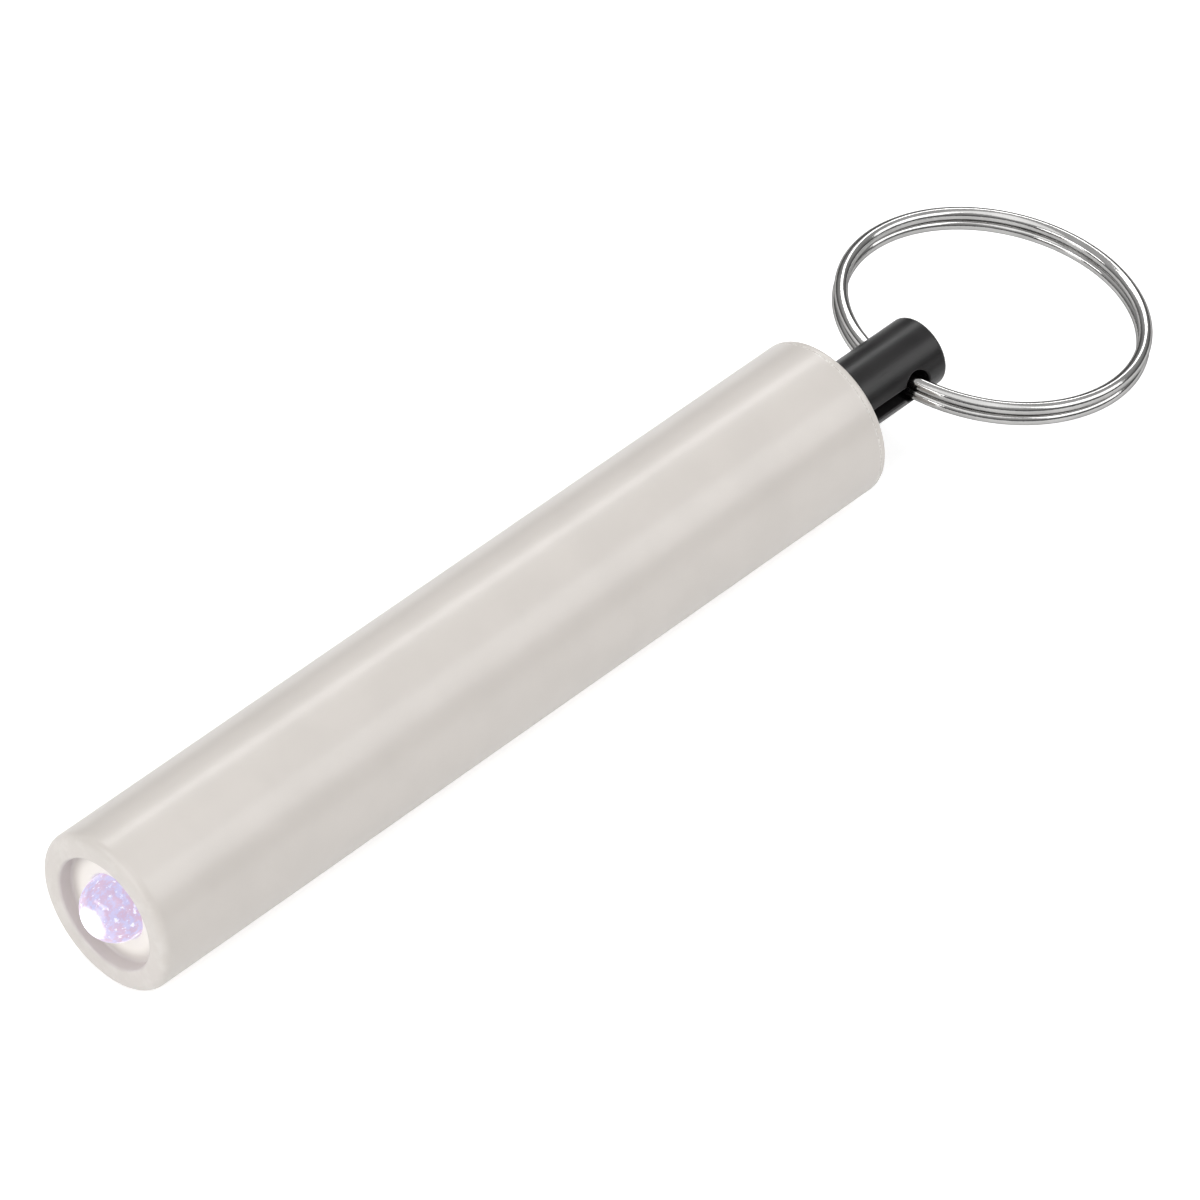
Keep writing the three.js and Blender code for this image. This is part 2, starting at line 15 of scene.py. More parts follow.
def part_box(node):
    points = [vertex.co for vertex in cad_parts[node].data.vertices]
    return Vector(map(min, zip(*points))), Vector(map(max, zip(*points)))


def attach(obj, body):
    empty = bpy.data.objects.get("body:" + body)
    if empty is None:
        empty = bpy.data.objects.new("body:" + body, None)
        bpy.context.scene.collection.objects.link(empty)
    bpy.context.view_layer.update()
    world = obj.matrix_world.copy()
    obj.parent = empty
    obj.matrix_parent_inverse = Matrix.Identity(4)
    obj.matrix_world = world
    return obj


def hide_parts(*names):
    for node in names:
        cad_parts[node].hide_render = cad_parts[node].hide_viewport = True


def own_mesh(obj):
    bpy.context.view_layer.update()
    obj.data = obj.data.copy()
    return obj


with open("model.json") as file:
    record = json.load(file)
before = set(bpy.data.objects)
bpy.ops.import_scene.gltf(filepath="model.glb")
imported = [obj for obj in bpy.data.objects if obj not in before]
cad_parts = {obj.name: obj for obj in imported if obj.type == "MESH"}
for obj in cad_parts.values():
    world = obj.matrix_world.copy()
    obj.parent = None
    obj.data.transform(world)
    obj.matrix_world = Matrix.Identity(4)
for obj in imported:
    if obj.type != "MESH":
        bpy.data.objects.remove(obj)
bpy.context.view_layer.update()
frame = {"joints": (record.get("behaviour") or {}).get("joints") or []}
MM = 0.001

# ---- places, read from the frame --------------------------------------------------------------


def low_x(node):
    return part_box(node)[0].x


def high_x(node):
    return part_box(node)[1].x


def joint_point(name):
    return Vector(next(j["pos_m"] for j in frame["joints"] if j["name"] == name))


BARREL_LOW, BARREL_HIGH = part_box("barrel")
NOSE_X = BARREL_LOW.x
BARREL_REAR_X = BARREL_HIGH.x
BODY_RADIUS = (BARREL_HIGH.z - BARREL_LOW.z) / 2
AXIS_Z = BARREL_LOW.z + BODY_RADIUS
CAP_SKIRT_X = low_x("rear_cap")
CAP_FACE_X = high_x("rear_cap")
PLUNGER_END_X = high_x("plunger")
LENS_TIP_X = low_x("led_lens")
RING_HOLE = joint_point("ring_swing")
BOARD_REAR_X = high_x("driver_board")

# ---- sizes ------------------------------------------------------------------------------------

BORE_RADIUS = 5.45 * MM
INSERT_RADIUS = 5.35 * MM
NOSE_ROUND = 0.7 * MM
LIP_LAND = 0.93 * MM
LIP_ROUND = 0.25 * MM
RECESS_DEPTH = 1.2 * MM
FRONT_WALL = 1.4 * MM
LENS_HOLE_RADIUS = 2.6 * MM
RECESS_CORNER = 0.25 * MM
STRIP_CHANNEL = (2.4 * MM, 0.45 * MM)  # width, depth above the bore
FINE_EDGE = 0.12 * MM
SEAM_EDGE = 0.03 * MM
SEAM_CLOSED = 0.04 * MM  # the moulded flange all but touches the barrel

CAP_GUIDE_RADIUS = 2.9 * MM
CAP_SKIRT_RADIUS = 4.5 * MM
CAP_FLANGE = 0.6 * MM
CAP_GUIDE_LENGTH = 3.5 * MM
CAP_EDGE_ROUND = 0.4 * MM

PLUNGER_RADIUS = 2.8 * MM
PLUNGER_EDGE = 0.35 * MM
PLUNGER_SHOULDER = (4.2 * MM, 1.2 * MM)  # radius, thickness
PLUNGER_BOSS_RADIUS = 1.6 * MM
PLUNGER_NECK_RADIUS = 1.0 * MM
PLUNGER_STAKE_RADIUS = 1.35 * MM
RING_HOLE_RADIUS = 1.295 * MM
SLOT_HALF = 0.6 * MM
SLOT_INSIDE_CAP = 1.5 * MM
KEYHOLE_EDGE = 0.16 * MM
KEYHOLE_TOOL_EXTRA = 1.2 * MM  # how far the cutting shape stands out of the plunger
SHOULDER_GAP = 0.1 * MM
DISC_PLAY = 0.05 * MM

WIRE_WIDTH = 1.05 * MM
WIRE_THICKNESS = 0.93 * MM
WIRE_TURN_PITCH = 0.96 * MM
WIRE_STEP_ARC = math.radians(20)
WIRE_MEAN_RADIUS = 11.455 * MM
RING_CENTRE = 11.26 * MM  # from the plunger's hole
RING_DROOP = math.radians(8)
RING_TIP = math.radians(4.5)

LENS_RADIUS = 2.5 * MM
LENS_FLANGE = (2.9 * MM, 1.0 * MM)  # radius, thickness

SEAT_GAP = 0.05 * MM
HOLDER_SEAT_RADIUS = 3.0 * MM
HOLDER_SKIRT_RADIUS = 4.45 * MM
LEG_OFFSET = 1.27 * MM
LEG_HOLE_RADIUS = 0.42 * MM
COIL_OFFSET = 2.75 * MM
COIL_RADIUS = 1.43 * MM
COIL_WAIST = 0.75 * MM
COIL_FLANGE = 0.4 * MM
WINDING_WIRE = 0.16 * MM
WINDING_TURNS = 9.0
WINDING_RADII = (0.92 * MM, 1.08 * MM, 1.24 * MM)
CONTACT_PLATE = (1.5 * MM, 0.3 * MM)  # radius, thickness
CONTACT_NOSE_RADIUS = 0.8 * MM
INSULATOR_RADII = (2.4 * MM, 5.28 * MM)

CAN_RADIUS = 5.03 * MM
CAN_NUB = (1.9 * MM, 1.0 * MM)  # radius, height
CAN_SHOULDER = 0.5 * MM
CAN_RIM_WALL = 0.35 * MM
CAN_RECESS = 0.5 * MM
LABEL_RADII = (5.06 * MM, 5.13 * MM)
SEAL_RADII = (3.9 * MM, 4.63 * MM)
END_CAP_RADIUS = 3.83 * MM
END_CAP_RIM = 0.4 * MM
END_CAP_LEAN = 0.3 * MM

BATTERY_SPRING_RADII = (2.2 * MM, 4.18 * MM)
BATTERY_SPRING_WIRE = 0.45 * MM
BATTERY_SPRING_TURNS = 3.0
SPRING_PLATE_RADIUS = 4.68 * MM
RIVET_OFFSET = 2.3 * MM
RIVET_HEAD = (0.77 * MM, 0.25 * MM)  # radius, thickness
RIVET_SHANK_RADIUS = 0.43 * MM
CARRIER_HOLE_RADIUS = 1.6 * MM
CARRIER_POCKET_RADIUS = 4.2 * MM
CARRIER_LEDGE = (0.85 * MM, 0.65 * MM)  # width, height above the pocket's floor
CARRIER_FLOOR = 0.8 * MM
STRIP_SLOT = 2.4 * MM
DISC_RADII = (1.05 * MM, 3.2 * MM)
RETURN_SPRING_RADIUS = 3.725 * MM
RETURN_SPRING_WIRE = 0.35 * MM
RETURN_SPRING_TURNS = 4.0

LEAD_ROUND = 0.06 * MM
CHIP_ROUND = 0.03 * MM
BOARD_EDGE = 0.05 * MM

BARREL_SEGMENTS = 192
SMALL_SEGMENTS = 96
DRILL_SEGMENTS = 24
ARC_STEPS = 10
SMALL_ROUND_STEPS = 4
DOME_STEPS = 24
KEYHOLE_ARC_STEPS = 48
KEYHOLE_SIDE_STEPS = 12
KEYHOLE_END_STEPS = 4
RING_STEPS = 361
RING_SIDES = 24
COIL_STEPS_PER_TURN = 36
COIL_SIDES = 12
SHARP_ANGLE = math.radians(32)
FLAT_ANGLE = math.radians(1)
ON_AXIS = 1e-7
MERGE_DISTANCE = 1e-7

# ---- mesh helpers -----------------------------------------------------------------------------


def smooth_between_sharp_edges(bm):
    for face in bm.faces:
        face.smooth = True
    for edge in bm.edges:
        edge.smooth = len(edge.link_faces) == 2 and edge.calc_face_angle() < SHARP_ANGLE


def new_piece(name, bm):
    """A bmesh made into a linked object, its faces pointing outwards and smooth up to a sharp edge."""
    bmesh.ops.recalc_face_normals(bm, faces=bm.faces)
    smooth_between_sharp_edges(bm)
    mesh = bpy.data.meshes.new(name)
    bm.to_mesh(mesh)
    bm.free()
    piece = bpy.data.objects.new(name, mesh)
    bpy.context.scene.collection.objects.link(piece)
    return piece


def filleted(corners, steps=ARC_STEPS):
    """A closed outline whose corners, given as (x, radius, rounding), are rounded where asked."""
    outline = []
    count = len(corners)
    for i, (x, r, rounding) in enumerate(corners):
        here = Vector((x, r))
        if rounding <= 0:
            outline.append((x, r))
            continue
        back = (Vector(corners[i - 1][:2]) - here).normalized()
        ahead = (Vector(corners[(i + 1) % count][:2]) - here).normalized()
        half = back.angle(ahead) / 2
        centre = here + (back + ahead).normalized() * (rounding / math.sin(half))
        start = here + back * (rounding / math.tan(half)) - centre
        sweep = start.angle_signed(here + ahead * (rounding / math.tan(half)) - centre)
        for step in range(steps + 1):
            turn = Matrix.Rotation(-sweep * step / steps, 2)
            outline.append(tuple(centre + turn @ start))
    return outline


def turned(outline, segments=SMALL_SEGMENTS, centre_y=0.0, centre_z=AXIS_Z):
    """A bmesh of a closed outline of (x, radius) points, turned about a line along X."""
    bm = bmesh.new()
    rings = []
    for x, r in outline:
        if r < ON_AXIS:
            rings.append([bm.verts.new((x, centre_y, centre_z))])
            continue
        angles = [2 * math.pi * i / segments - math.pi / 2 for i in range(segments)]
        rings.append(
            [
                bm.verts.new((x, centre_y + r * math.cos(a), centre_z + r * math.sin(a)))
                for a in angles
            ]
        )
    for ring, following in zip(rings, rings[1:] + rings[:1]):
        if len(ring) == 1 and len(following) == 1:
            continue
        for i in range(segments):
            j = (i + 1) % segments
            corners = [ring[i % len(ring)], ring[j % len(ring)]]
            corners += [following[j % len(following)], following[i % len(following)]]
            bm.faces.new(list(dict.fromkeys(corners)))
    return bm


def box_mesh(low, high):
    bm = bmesh.new()
    bmesh.ops.create_cube(bm, size=1.0)
    size = Vector(high) - Vector(low)
    middle = (Vector(high) + Vector(low)) / 2
    bmesh.ops.transform(bm, matrix=Matrix.LocRotScale(middle, None, size), verts=bm.verts)
    return bm


def evaluated_mesh(piece):
    """The mesh of a piece with its modifiers applied."""
    graph = bpy.context.evaluated_depsgraph_get()
    return bpy.data.meshes.new_from_object(piece.evaluated_get(graph))


def apply_modifiers(piece):
    mesh = evaluated_mesh(piece)
    piece.modifiers.clear()
    old = piece.data
    piece.data = mesh
    bpy.data.meshes.remove(old)
    return piece


def carved(piece, tool_mesh):
    """Cuts a tool shape out of a piece, then marks the sharp edges of the result."""
    tool = new_piece(piece.name + ".tool", tool_mesh)
    cut = piece.modifiers.new("cut", "BOOLEAN")
    cut.operation = "DIFFERENCE"
    cut.solver = "EXACT"
    cut.object = tool
    apply_modifiers(piece)
    bpy.data.objects.remove(tool)
    resharpen(piece)
    return piece


def resharpen(piece):
    bm = bmesh.new()
    bm.from_mesh(piece.data)
    bmesh.ops.remove_doubles(bm, verts=bm.verts, dist=MERGE_DISTANCE)
    smooth_between_sharp_edges(bm)
    bm.to_mesh(piece.data)
    bm.free()


def softened_copy(name, node, rounding):
    """A copy of a CAD node's shape whose flat faces are whole and whose edges are rounded."""
    bm = bmesh.new()
    bm.from_mesh(bpy.data.objects[node].data)
    bmesh.ops.remove_doubles(bm, verts=bm.verts, dist=MERGE_DISTANCE)
    bmesh.ops.dissolve_limit(
        bm, angle_limit=FLAT_ANGLE, verts=bm.verts, edges=bm.edges, delimit={"NORMAL"}
    )
    sharp = [e for e in bm.edges if len(e.link_faces) == 2 and e.calc_face_angle() > SHARP_ANGLE]
    bmesh.ops.bevel(
        bm, geom=sharp, offset=rounding, segments=3, profile=0.5, affect="EDGES", clamp_overlap=True
    )
    return new_piece(name, bm)


def finish_piece(piece, body, slot, *nodes):
    """Gives a piece its finish, the CAD body that it moves with and the nodes that it stands for."""
    piece.data.materials.clear()
    piece.data.materials.append(FINISHES[slot])
    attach(piece, body)
    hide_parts(*nodes)
    return piece


# ---- shader helpers ---------------------------------------------------------------------------


def new_node(tree, kind, inputs=None, **settings):
    """A node of any kind of tree, with its settings, and its inputs linked or set."""
    node = tree.nodes.new(kind)
    for name, value in settings.items():
        setattr(node, name, value)
    for name, value in (inputs or {}).items():
        put(tree, node.inputs[name], value)
    return node


def put(tree, socket, value):
    """Links another node's output to a socket, or sets its number or colour."""
    if isinstance(value, bpy.types.NodeSocket):
        tree.links.new(value, socket)
    else:
        socket.default_value = value


def arithmetic(tree, operation, first, second=0.0, clamp=False):
    node = tree.nodes.new("ShaderNodeMath")
    node.operation = operation
    node.use_clamp = clamp
    put(tree, node.inputs[0], first)
    put(tree, node.inputs[1], second)
    return node.outputs[0]


def ramp_between(tree, value, low, high, to_low=0.0, to_high=1.0, smooth=True):
    kind = "SMOOTHSTEP" if smooth else "LINEAR"
    inputs = {"Value": value, "From Min": low, "From Max": high}
    node = new_node(tree, "ShaderNodeMapRange", inputs, interpolation_type=kind)
    node.inputs["To Min"].default_value = to_low
    node.inputs["To Max"].default_value = to_high
    return node.outputs["Result"]


def colour_mix(tree, factor, first, second):
    """Mixes two colours; a Mix node holds its colour sockets after those for numbers and vectors."""
    inputs = {0: factor, 6: first, 7: second}
    return new_node(tree, "ShaderNodeMix", inputs, data_type="RGBA").outputs[2]


def noise(tree, vector, scale, detail=2.0, roughness=0.5):
    inputs = {"Vector": vector, "Scale": scale, "Detail": detail, "Roughness": roughness}
    return new_node(tree, "ShaderNodeTexNoise", inputs).outputs["Fac"]


def shader_group(name, sizes, results):
    """A new shader group that is given a Vector and the sizes, with its inner inputs and outputs.

    sizes gives each input's default, and results gives each output's kind.
    """
    group = bpy.data.node_groups.new(name, "ShaderNodeTree")
    group.interface.new_socket("Vector", in_out="INPUT", socket_type="NodeSocketVector")
    for title, default in sizes.items():
        width = len(default) if isinstance(default, tuple) else 1
        kind = {1: "NodeSocketFloat", 3: "NodeSocketVector", 4: "NodeSocketColor"}[width]
        socket = group.interface.new_socket(title, in_out="INPUT", socket_type=kind)
        socket.default_value = default
    for title, kind in results.items():
        group.interface.new_socket(title, in_out="OUTPUT", socket_type="NodeSocket" + kind)
    return group, group.nodes.new("NodeGroupInput").outputs, group.nodes.new("NodeGroupOutput").inputs


SPECKS_PER_MM = 0.9
SPECK_EDGE = (0.03, 0.07)  # full and gone, as shares of the specks' spacing
SPECKS_LEFT_OUT = 0.9
DUST_COLOUR = (0.75, 0.73, 0.7, 1)
DUST_ROUGHNESS = 0.3
PATCH_EDGE = (0.42, 0.66)  # PATCH_EDGE = (0.42, 0.66) # the noise between which a rubbed, painted-highlight patch comes in
SCRATCH_EDGE = (0.56, 0.68)


def make_surface_group():
    """Colour drift, fine grain and dust, which every finish has in its own measure."""
    group, given, result = shader_group(
        "surface_detail",
        {
            "Colour": (0.5, 0.5, 0.5, 1),
            "Shade": (0.4, 0.4, 0.4, 1),
            "Drift Size mm": 8.0,
            "Grain Size mm": 0.1,
            "Roughness": 0.4,
            "Roughness Spread": 0.1,
            "Dust": 0.0,
        },
        {"Colour": "Color", "Roughness": "Float", "Height": "Float"},
    )
    millimetre = 1 / MM
    drift_scale = arithmetic(group, "DIVIDE", millimetre, given["Drift Size mm"])
    grain_scale = arithmetic(group, "DIVIDE", millimetre, given["Grain Size mm"])
    drift = noise(group, given["Vector"], drift_scale, detail=3.0)
    grain = noise(group, given["Vector"], grain_scale, detail=2.0)
    cloud = ramp_between(group, drift, 0.3, 0.7)
    colour = colour_mix(group, cloud, given["Colour"], given["Shade"])
    specks = new_node(
        group,
        "ShaderNodeTexVoronoi",
        {"Vector": given["Vector"], "Scale": SPECKS_PER_MM * millimetre, "Randomness": 1.0},
    )
    spot = ramp_between(group, specks.outputs["Distance"], *SPECK_EDGE, 1.0, 0.0)
    some = new_node(group, "ShaderNodeSeparateColor", {"Color": specks.outputs["Color"]})
    chosen = arithmetic(group, "GREATER_THAN", some.outputs["Red"], SPECKS_LEFT_OUT)
    dust = arithmetic(group, "MULTIPLY", arithmetic(group, "MULTIPLY", spot, chosen), given["Dust"])
    put(group, result["Colour"], colour_mix(group, dust, colour, DUST_COLOUR))
    swing = arithmetic(group, "SUBTRACT", arithmetic(group, "ADD", drift, grain), 1.0)
    spread = arithmetic(group, "MULTIPLY", swing, given["Roughness Spread"])
    rough = arithmetic(group, "ADD", given["Roughness"], spread)
    rough = arithmetic(group, "ADD", rough, arithmetic(group, "MULTIPLY", dust, DUST_ROUGHNESS), clamp=True)
    put(group, result["Roughness"], rough)
    put(group, result["Height"], arithmetic(group, "ADD", grain, dust))
    return group


def make_rim_rub_and_highlight_group():
    """A mask for a rim's rub and painted highlight, strongest at its station along the light."""
    group, given, result = shader_group(
        "rim_rub",
        {"Station": 0.0, "Reach": 0.0005, "Patch Size mm": 0.6, "Amount": 0.5},
        {"Mask": "Float"},
    )
    parts = new_node(group, "ShaderNodeSeparateXYZ", {"Vector": given["Vector"]})
    away = arithmetic(group, "SUBTRACT", parts.outputs["X"], given["Station"])
    distance = arithmetic(group, "DIVIDE", arithmetic(group, "ABSOLUTE", away), given["Reach"])
    near = ramp_between(group, distance, 0.0, 1.0, 1.0, 0.0)
    scale = arithmetic(group, "DIVIDE", 1 / MM, given["Patch Size mm"])
    patches = noise(group, given["Vector"], scale, detail=4.0, roughness=0.65)
    broken = ramp_between(group, patches, *PATCH_EDGE)
    mask = arithmetic(group, "MULTIPLY", near, broken)
    put(group, result["Mask"], arithmetic(group, "MULTIPLY", mask, given["Amount"], clamp=True))
    return group


def make_scratch_group():
    """A mask for fine scratches that run mostly one way."""
    group, given, result = shader_group(
        "fine_scratches",
        {"Stretch": (1.0, 1.0, 1.0), "Size mm": 0.2, "Amount": 0.5},
        {"Mask": "Float"},
    )
    drawn = new_node(
        group,
        "ShaderNodeVectorMath",
        {0: given["Vector"], 1: given["Stretch"]},
        operation="MULTIPLY",
    )
    scale = arithmetic(group, "DIVIDE", 1 / MM, given["Size mm"])
    lines = noise(group, drawn.outputs[0], scale, detail=5.0, roughness=0.7)
    fine = ramp_between(group, lines, *SCRATCH_EDGE)
    put(group, result["Mask"], arithmetic(group, "MULTIPLY", fine, given["Amount"]))
    return group


def make_weave_group():
    """The faint woven relief of a glass or fibre laminate, across the light's axis."""
    group, given, result = shader_group(
        "laminate_weave", {"Thread mm": 0.3, "Depth": 0.5}, {"Height": "Float"}
    )
    parts = new_node(group, "ShaderNodeSeparateXYZ", {"Vector": given["Vector"]})
    turns = arithmetic(group, "DIVIDE", math.pi / MM, given["Thread mm"])
    waves = [
        arithmetic(group, "SINE", arithmetic(group, "MULTIPLY", parts.outputs[axis], turns))
        for axis in ("Y", "Z")
    ]
    crossed = arithmetic(group, "MULTIPLY", waves[0], waves[1])
    put(group, result["Height"], arithmetic(group, "MULTIPLY", crossed, given["Depth"]))
    return group


SURFACE = make_surface_group()
RIM_RUB_AND_HIGHLIGHT = make_rim_rub_and_highlight_group()
SCRATCHES = make_scratch_group()
WEAVE = make_weave_group()


def placed(tree, group, **inputs):
    node = tree.nodes.new("ShaderNodeGroup")
    node.node_tree = group
    for name, value in inputs.items():
        put(tree, node.inputs[name.replace("_", " ")], value)
    return node.outputs


FINISHES = {}  # each finished material, by the name of the record's slot that it fills


class Finish:
    """A material with its Principled shader, object coordinates and surface detail."""

    def __init__(self, slot, colour, shade, roughness, metallic=0.0, **detail):
        self.slot = slot
        self.material = bpy.data.materials.new(slot)
        self.material.use_nodes = True
        self.tree = self.material.node_tree
        self.shader = self.tree.nodes["Principled BSDF"]
        self.shader.inputs["Metallic"].default_value = metallic
        coordinates = self.tree.nodes.new("ShaderNodeTexCoord")
        self.vector = coordinates.outputs["Object"]
        bump = detail.pop("bump", 0.02)
        values = {"Colour": (*colour, 1), "Shade": (*shade, 1), "Roughness": roughness, **detail}
        self.surface = placed(self.tree, SURFACE, Vector=self.vector, **values)
        self.colour = self.surface["Colour"]
        self.roughness = self.surface["Roughness"]
        self.height = self.surface["Height"]
        self.bump_depth = bump * MM

    def set(self, **constants):
        for name, value in constants.items():
            self.shader.inputs[name.replace("_", " ")].default_value = value
        return self

    def tint(self, mask, colour):
        self.colour = colour_mix(self.tree, mask, self.colour, (*colour, 1))

    def roughen(self, mask, amount):
        more = arithmetic(self.tree, "MULTIPLY", mask, amount)
        self.roughness = arithmetic(self.tree, "ADD", self.roughness, more, clamp=True)

    def done(self):
        put(self.tree, self.shader.inputs["Base Color"], self.colour)
        put(self.tree, self.shader.inputs["Roughness"], self.roughness)
        bump = new_node(self.tree, "ShaderNodeBump", {"Height": self.height, "Strength": 1.0})
        bump.inputs["Distance"].default_value = self.bump_depth
        put(self.tree, self.shader.inputs["Normal"], bump.outputs["Normal"])
        FINISHES[self.slot] = self.material


# ---- finishes ---------------------------------------------------------------------------------


# Where the shell's rims are rubbed and lightened by a painted highlight: station, reach along the light,
# patch size in mm, amount.
SHELL_RUBS_AND_HIGHLIGHTS = [
    (NOSE_X, 0.6 * MM, 1.5, 0.15),
    (BARREL_REAR_X, 0.16 * MM, 0.22, 0.95),
    (CAP_FACE_X, 0.3 * MM, 0.5, 0.5),
]

RECESS_GLOW = (0.27, 0.27, 0.245, 1)
RECESS_GLOW_FULL = 3.3 * MM  # off the axis
RECESS_GLOW_END = 4.4 * MM
RECESS_GLOW_DEPTH = 1.88 * MM  # behind the plane of the nose

GLOW_CORE = 0.55 * MM
GLOW_SOFTNESS = 0.9 * MM
GLOW_UNEVEN = 0.5 * MM
HEART_GLOW = (2.4, 2.5, 2.7, 1)
FLECK_GLOW = (0.75, 0.78, 0.9, 1)
BLUE_GLOW = (0.42, 0.42, 0.62, 1)
ROSE_GLOW = (0.46, 0.33, 0.43, 1)


def recess_glow(tree, vector):
    """The lamp's light on the floor of the nose recess, dying away towards its wall."""
    across = new_node(
        tree,
        "ShaderNodeMapping",
        {"Vector": vector, "Location": (0.0, 0.0, -AXIS_Z), "Scale": (0.0, 1.0, 1.0)},
    )
    off_axis = new_node(
        tree, "ShaderNodeVectorMath", {0: across.outputs["Vector"]}, operation="LENGTH"
    ).outputs["Value"]
    along = new_node(tree, "ShaderNodeSeparateXYZ", {0: vector}).outputs["X"]
    near_axis = ramp_between(tree, off_axis, RECESS_GLOW_FULL, RECESS_GLOW_END, 1.0, 0.0)
    in_recess = arithmetic(tree, "LESS_THAN", along, NOSE_X + RECESS_GLOW_DEPTH)
    mask = arithmetic(tree, "MULTIPLY", near_axis, in_recess)
    return colour_mix(tree, mask, (0, 0, 0, 1), RECESS_GLOW)


def shell_plastic():
    """Pale warm grey moulded plastic with a satin gloss; its rims are lightened by painted highlights and a
    little rub, and its recess floor has painted lamp light.
    """
    finish = Finish(
        "shell_plastic",
        (0.646, 0.607, 0.570),
        (0.618, 0.581, 0.545),
        0.34,
        Drift_Size_mm=6.0,
        Grain_Size_mm=0.16,
        Roughness_Spread=0.08,
        Dust=0.25,
        bump=0.0035,
    )
    tree = finish.tree
    for station, reach, patch, amount in SHELL_RUBS_AND_HIGHLIGHTS:
        lighter_rim = placed(
            tree,
            RIM_RUB_AND_HIGHLIGHT,
            Vector=finish.vector,
            Station=station,
            Reach=reach,
            Patch_Size_mm=patch,
            Amount=amount,
        )["Mask"]
        # Painted highlight with a little rub: the rim is lightened towards a pale tint.
        finish.tint(lighter_rim, (0.88, 0.86, 0.83))
        finish.roughen(lighter_rim, 0.2)
    # Painted light: the lamp's light on the recess floor, given as a glow of the shell.
    put(tree, finish.shader.inputs["Emission Color"], recess_glow(tree, finish.vector))
    finish.set(Emission_Strength=1.0, IOR=1.5, Coat_Weight=0.25, Coat_Roughness=0.18)
    finish.done()


def black_plastic():
    """Black moulded plastic, semi-gloss, with fine lengthwise scratches from use."""
    finish = Finish(
        "black_plastic",
        (0.0085, 0.008, 0.0085),
        (0.014, 0.0132, 0.0136),
        0.32,
        Drift_Size_mm=3.0,
        Grain_Size_mm=0.08,
        Roughness_Spread=0.12,
        Dust=0.35,
        bump=0.0035,
    )
    tree = finish.tree
    lengthwise = (0.08, 1.0, 1.0)
    marks = placed(tree, SCRATCHES, Vector=finish.vector, Stretch=lengthwise, Amount=0.5)["Mask"]
    lighter_rim = placed(tree, RIM_RUB_AND_HIGHLIGHT, Vector=finish.vector, Station=PLUNGER_END_X, Amount=0.5)["Mask"]
    finish.tint(lighter_rim, (0.06, 0.058, 0.057))
    finish.roughen(marks, 0.2)
    finish.set(IOR=1.45, Specular_IOR_Level=0.42)
    finish.done()


def nickel_plate():
    """Bright nickel on drawn spring wire: faint drawing lines and a few dull rubbed places."""
    finish = Finish(
        "nickel_plate",
        (0.56, 0.555, 0.548),
        (0.47, 0.466, 0.46),
        0.08,
        metallic=1.0,
        Drift_Size_mm=2.5,
        Grain_Size_mm=0.12,
        Roughness_Spread=0.08,
        Dust=0.1,
        bump=0.004,
    )
    across = (1.0, 1.0, 4.0)
    marks = placed(
        finish.tree, SCRATCHES, Vector=finish.vector, Stretch=across, Size_mm=0.35, Amount=0.7
    )["Mask"]
    finish.tint(marks, (0.5, 0.49, 0.48))
    finish.roughen(marks, 0.15)
    finish.set(Specular_Tint=(0.3, 0.3, 0.3, 1))
    finish.done()


def led_epoxy():
    """Clear epoxy, lit from within: a white heart near its tip, in a mottled lavender."""
    finish = Finish(
        "led_epoxy",
        (0.20, 0.19, 0.26),
        (0.26, 0.20, 0.25),
        0.06,
        Drift_Size_mm=1.5,
        Grain_Size_mm=0.2,
        Roughness_Spread=0.04,
        bump=0.002,
    )
    tree = finish.tree
    tip = (-LENS_TIP_X - GLOW_CORE / 2, 0.0, -AXIS_Z)
    moved = new_node(tree, "ShaderNodeMapping", {"Vector": finish.vector, "Location": tip})
    distance = new_node(
        tree, "ShaderNodeVectorMath", {0: moved.outputs["Vector"]}, operation="LENGTH"
    ).outputs["Value"]
    ripple = noise(tree, finish.vector, 2.2 / MM, detail=5.0, roughness=0.65)
    mottle = noise(tree, finish.vector, 1.7 / MM, detail=4.0, roughness=0.65)
    uneven = arithmetic(tree, "MULTIPLY", arithmetic(tree, "SUBTRACT", ripple, 0.5), GLOW_UNEVEN)
    reach = arithmetic(tree, "ADD", distance, uneven)
    core = ramp_between(tree, reach, GLOW_CORE, GLOW_CORE + GLOW_SOFTNESS, 1.0, 0.0)
    flecks = ramp_between(tree, ripple, 0.56, 0.64)
    tint = colour_mix(tree, ramp_between(tree, mottle, 0.42, 0.58), BLUE_GLOW, ROSE_GLOW)
    fringe = colour_mix(tree, flecks, tint, FLECK_GLOW)
    glow = colour_mix(tree, core, fringe, HEART_GLOW)
    put(tree, finish.shader.inputs["Emission Color"], glow)
    finish.set(Emission_Strength=1.0, Transmission_Weight=0.3, IOR=1.5)
    finish.done()


def worn_metal(slot, colour, shade, roughness, scratch_colour, stretch, **detail):
    """A plated or bare metal with fine scratches that run along its working direction."""
    finish = Finish(slot, colour, shade, roughness, metallic=1.0, **detail)
    marks = placed(
        finish.tree, SCRATCHES, Vector=finish.vector, Stretch=stretch, Size_mm=0.3, Amount=0.6
    )["Mask"]
    finish.tint(marks, scratch_colour)
    finish.roughen(marks, 0.2)
    finish.done()


def laminate(slot, colour, shade, roughness, thread, depth, **detail):
    """A laminate whose weave shows a little through its surface."""
    finish = Finish(slot, colour, shade, roughness, **detail)
    woven = placed(finish.tree, WEAVE, Vector=finish.vector, Thread_mm=thread, Depth=depth)["Height"]
    finish.height = arithmetic(finish.tree, "ADD", finish.height, woven)
    finish.done()


def plain_finish(slot, colour, shade, roughness, coat=0.0, **detail):
    """A finish that needs only its own measure of drift, grain and dust."""
    Finish(slot, colour, shade, roughness, **detail).set(Coat_Weight=coat).done()


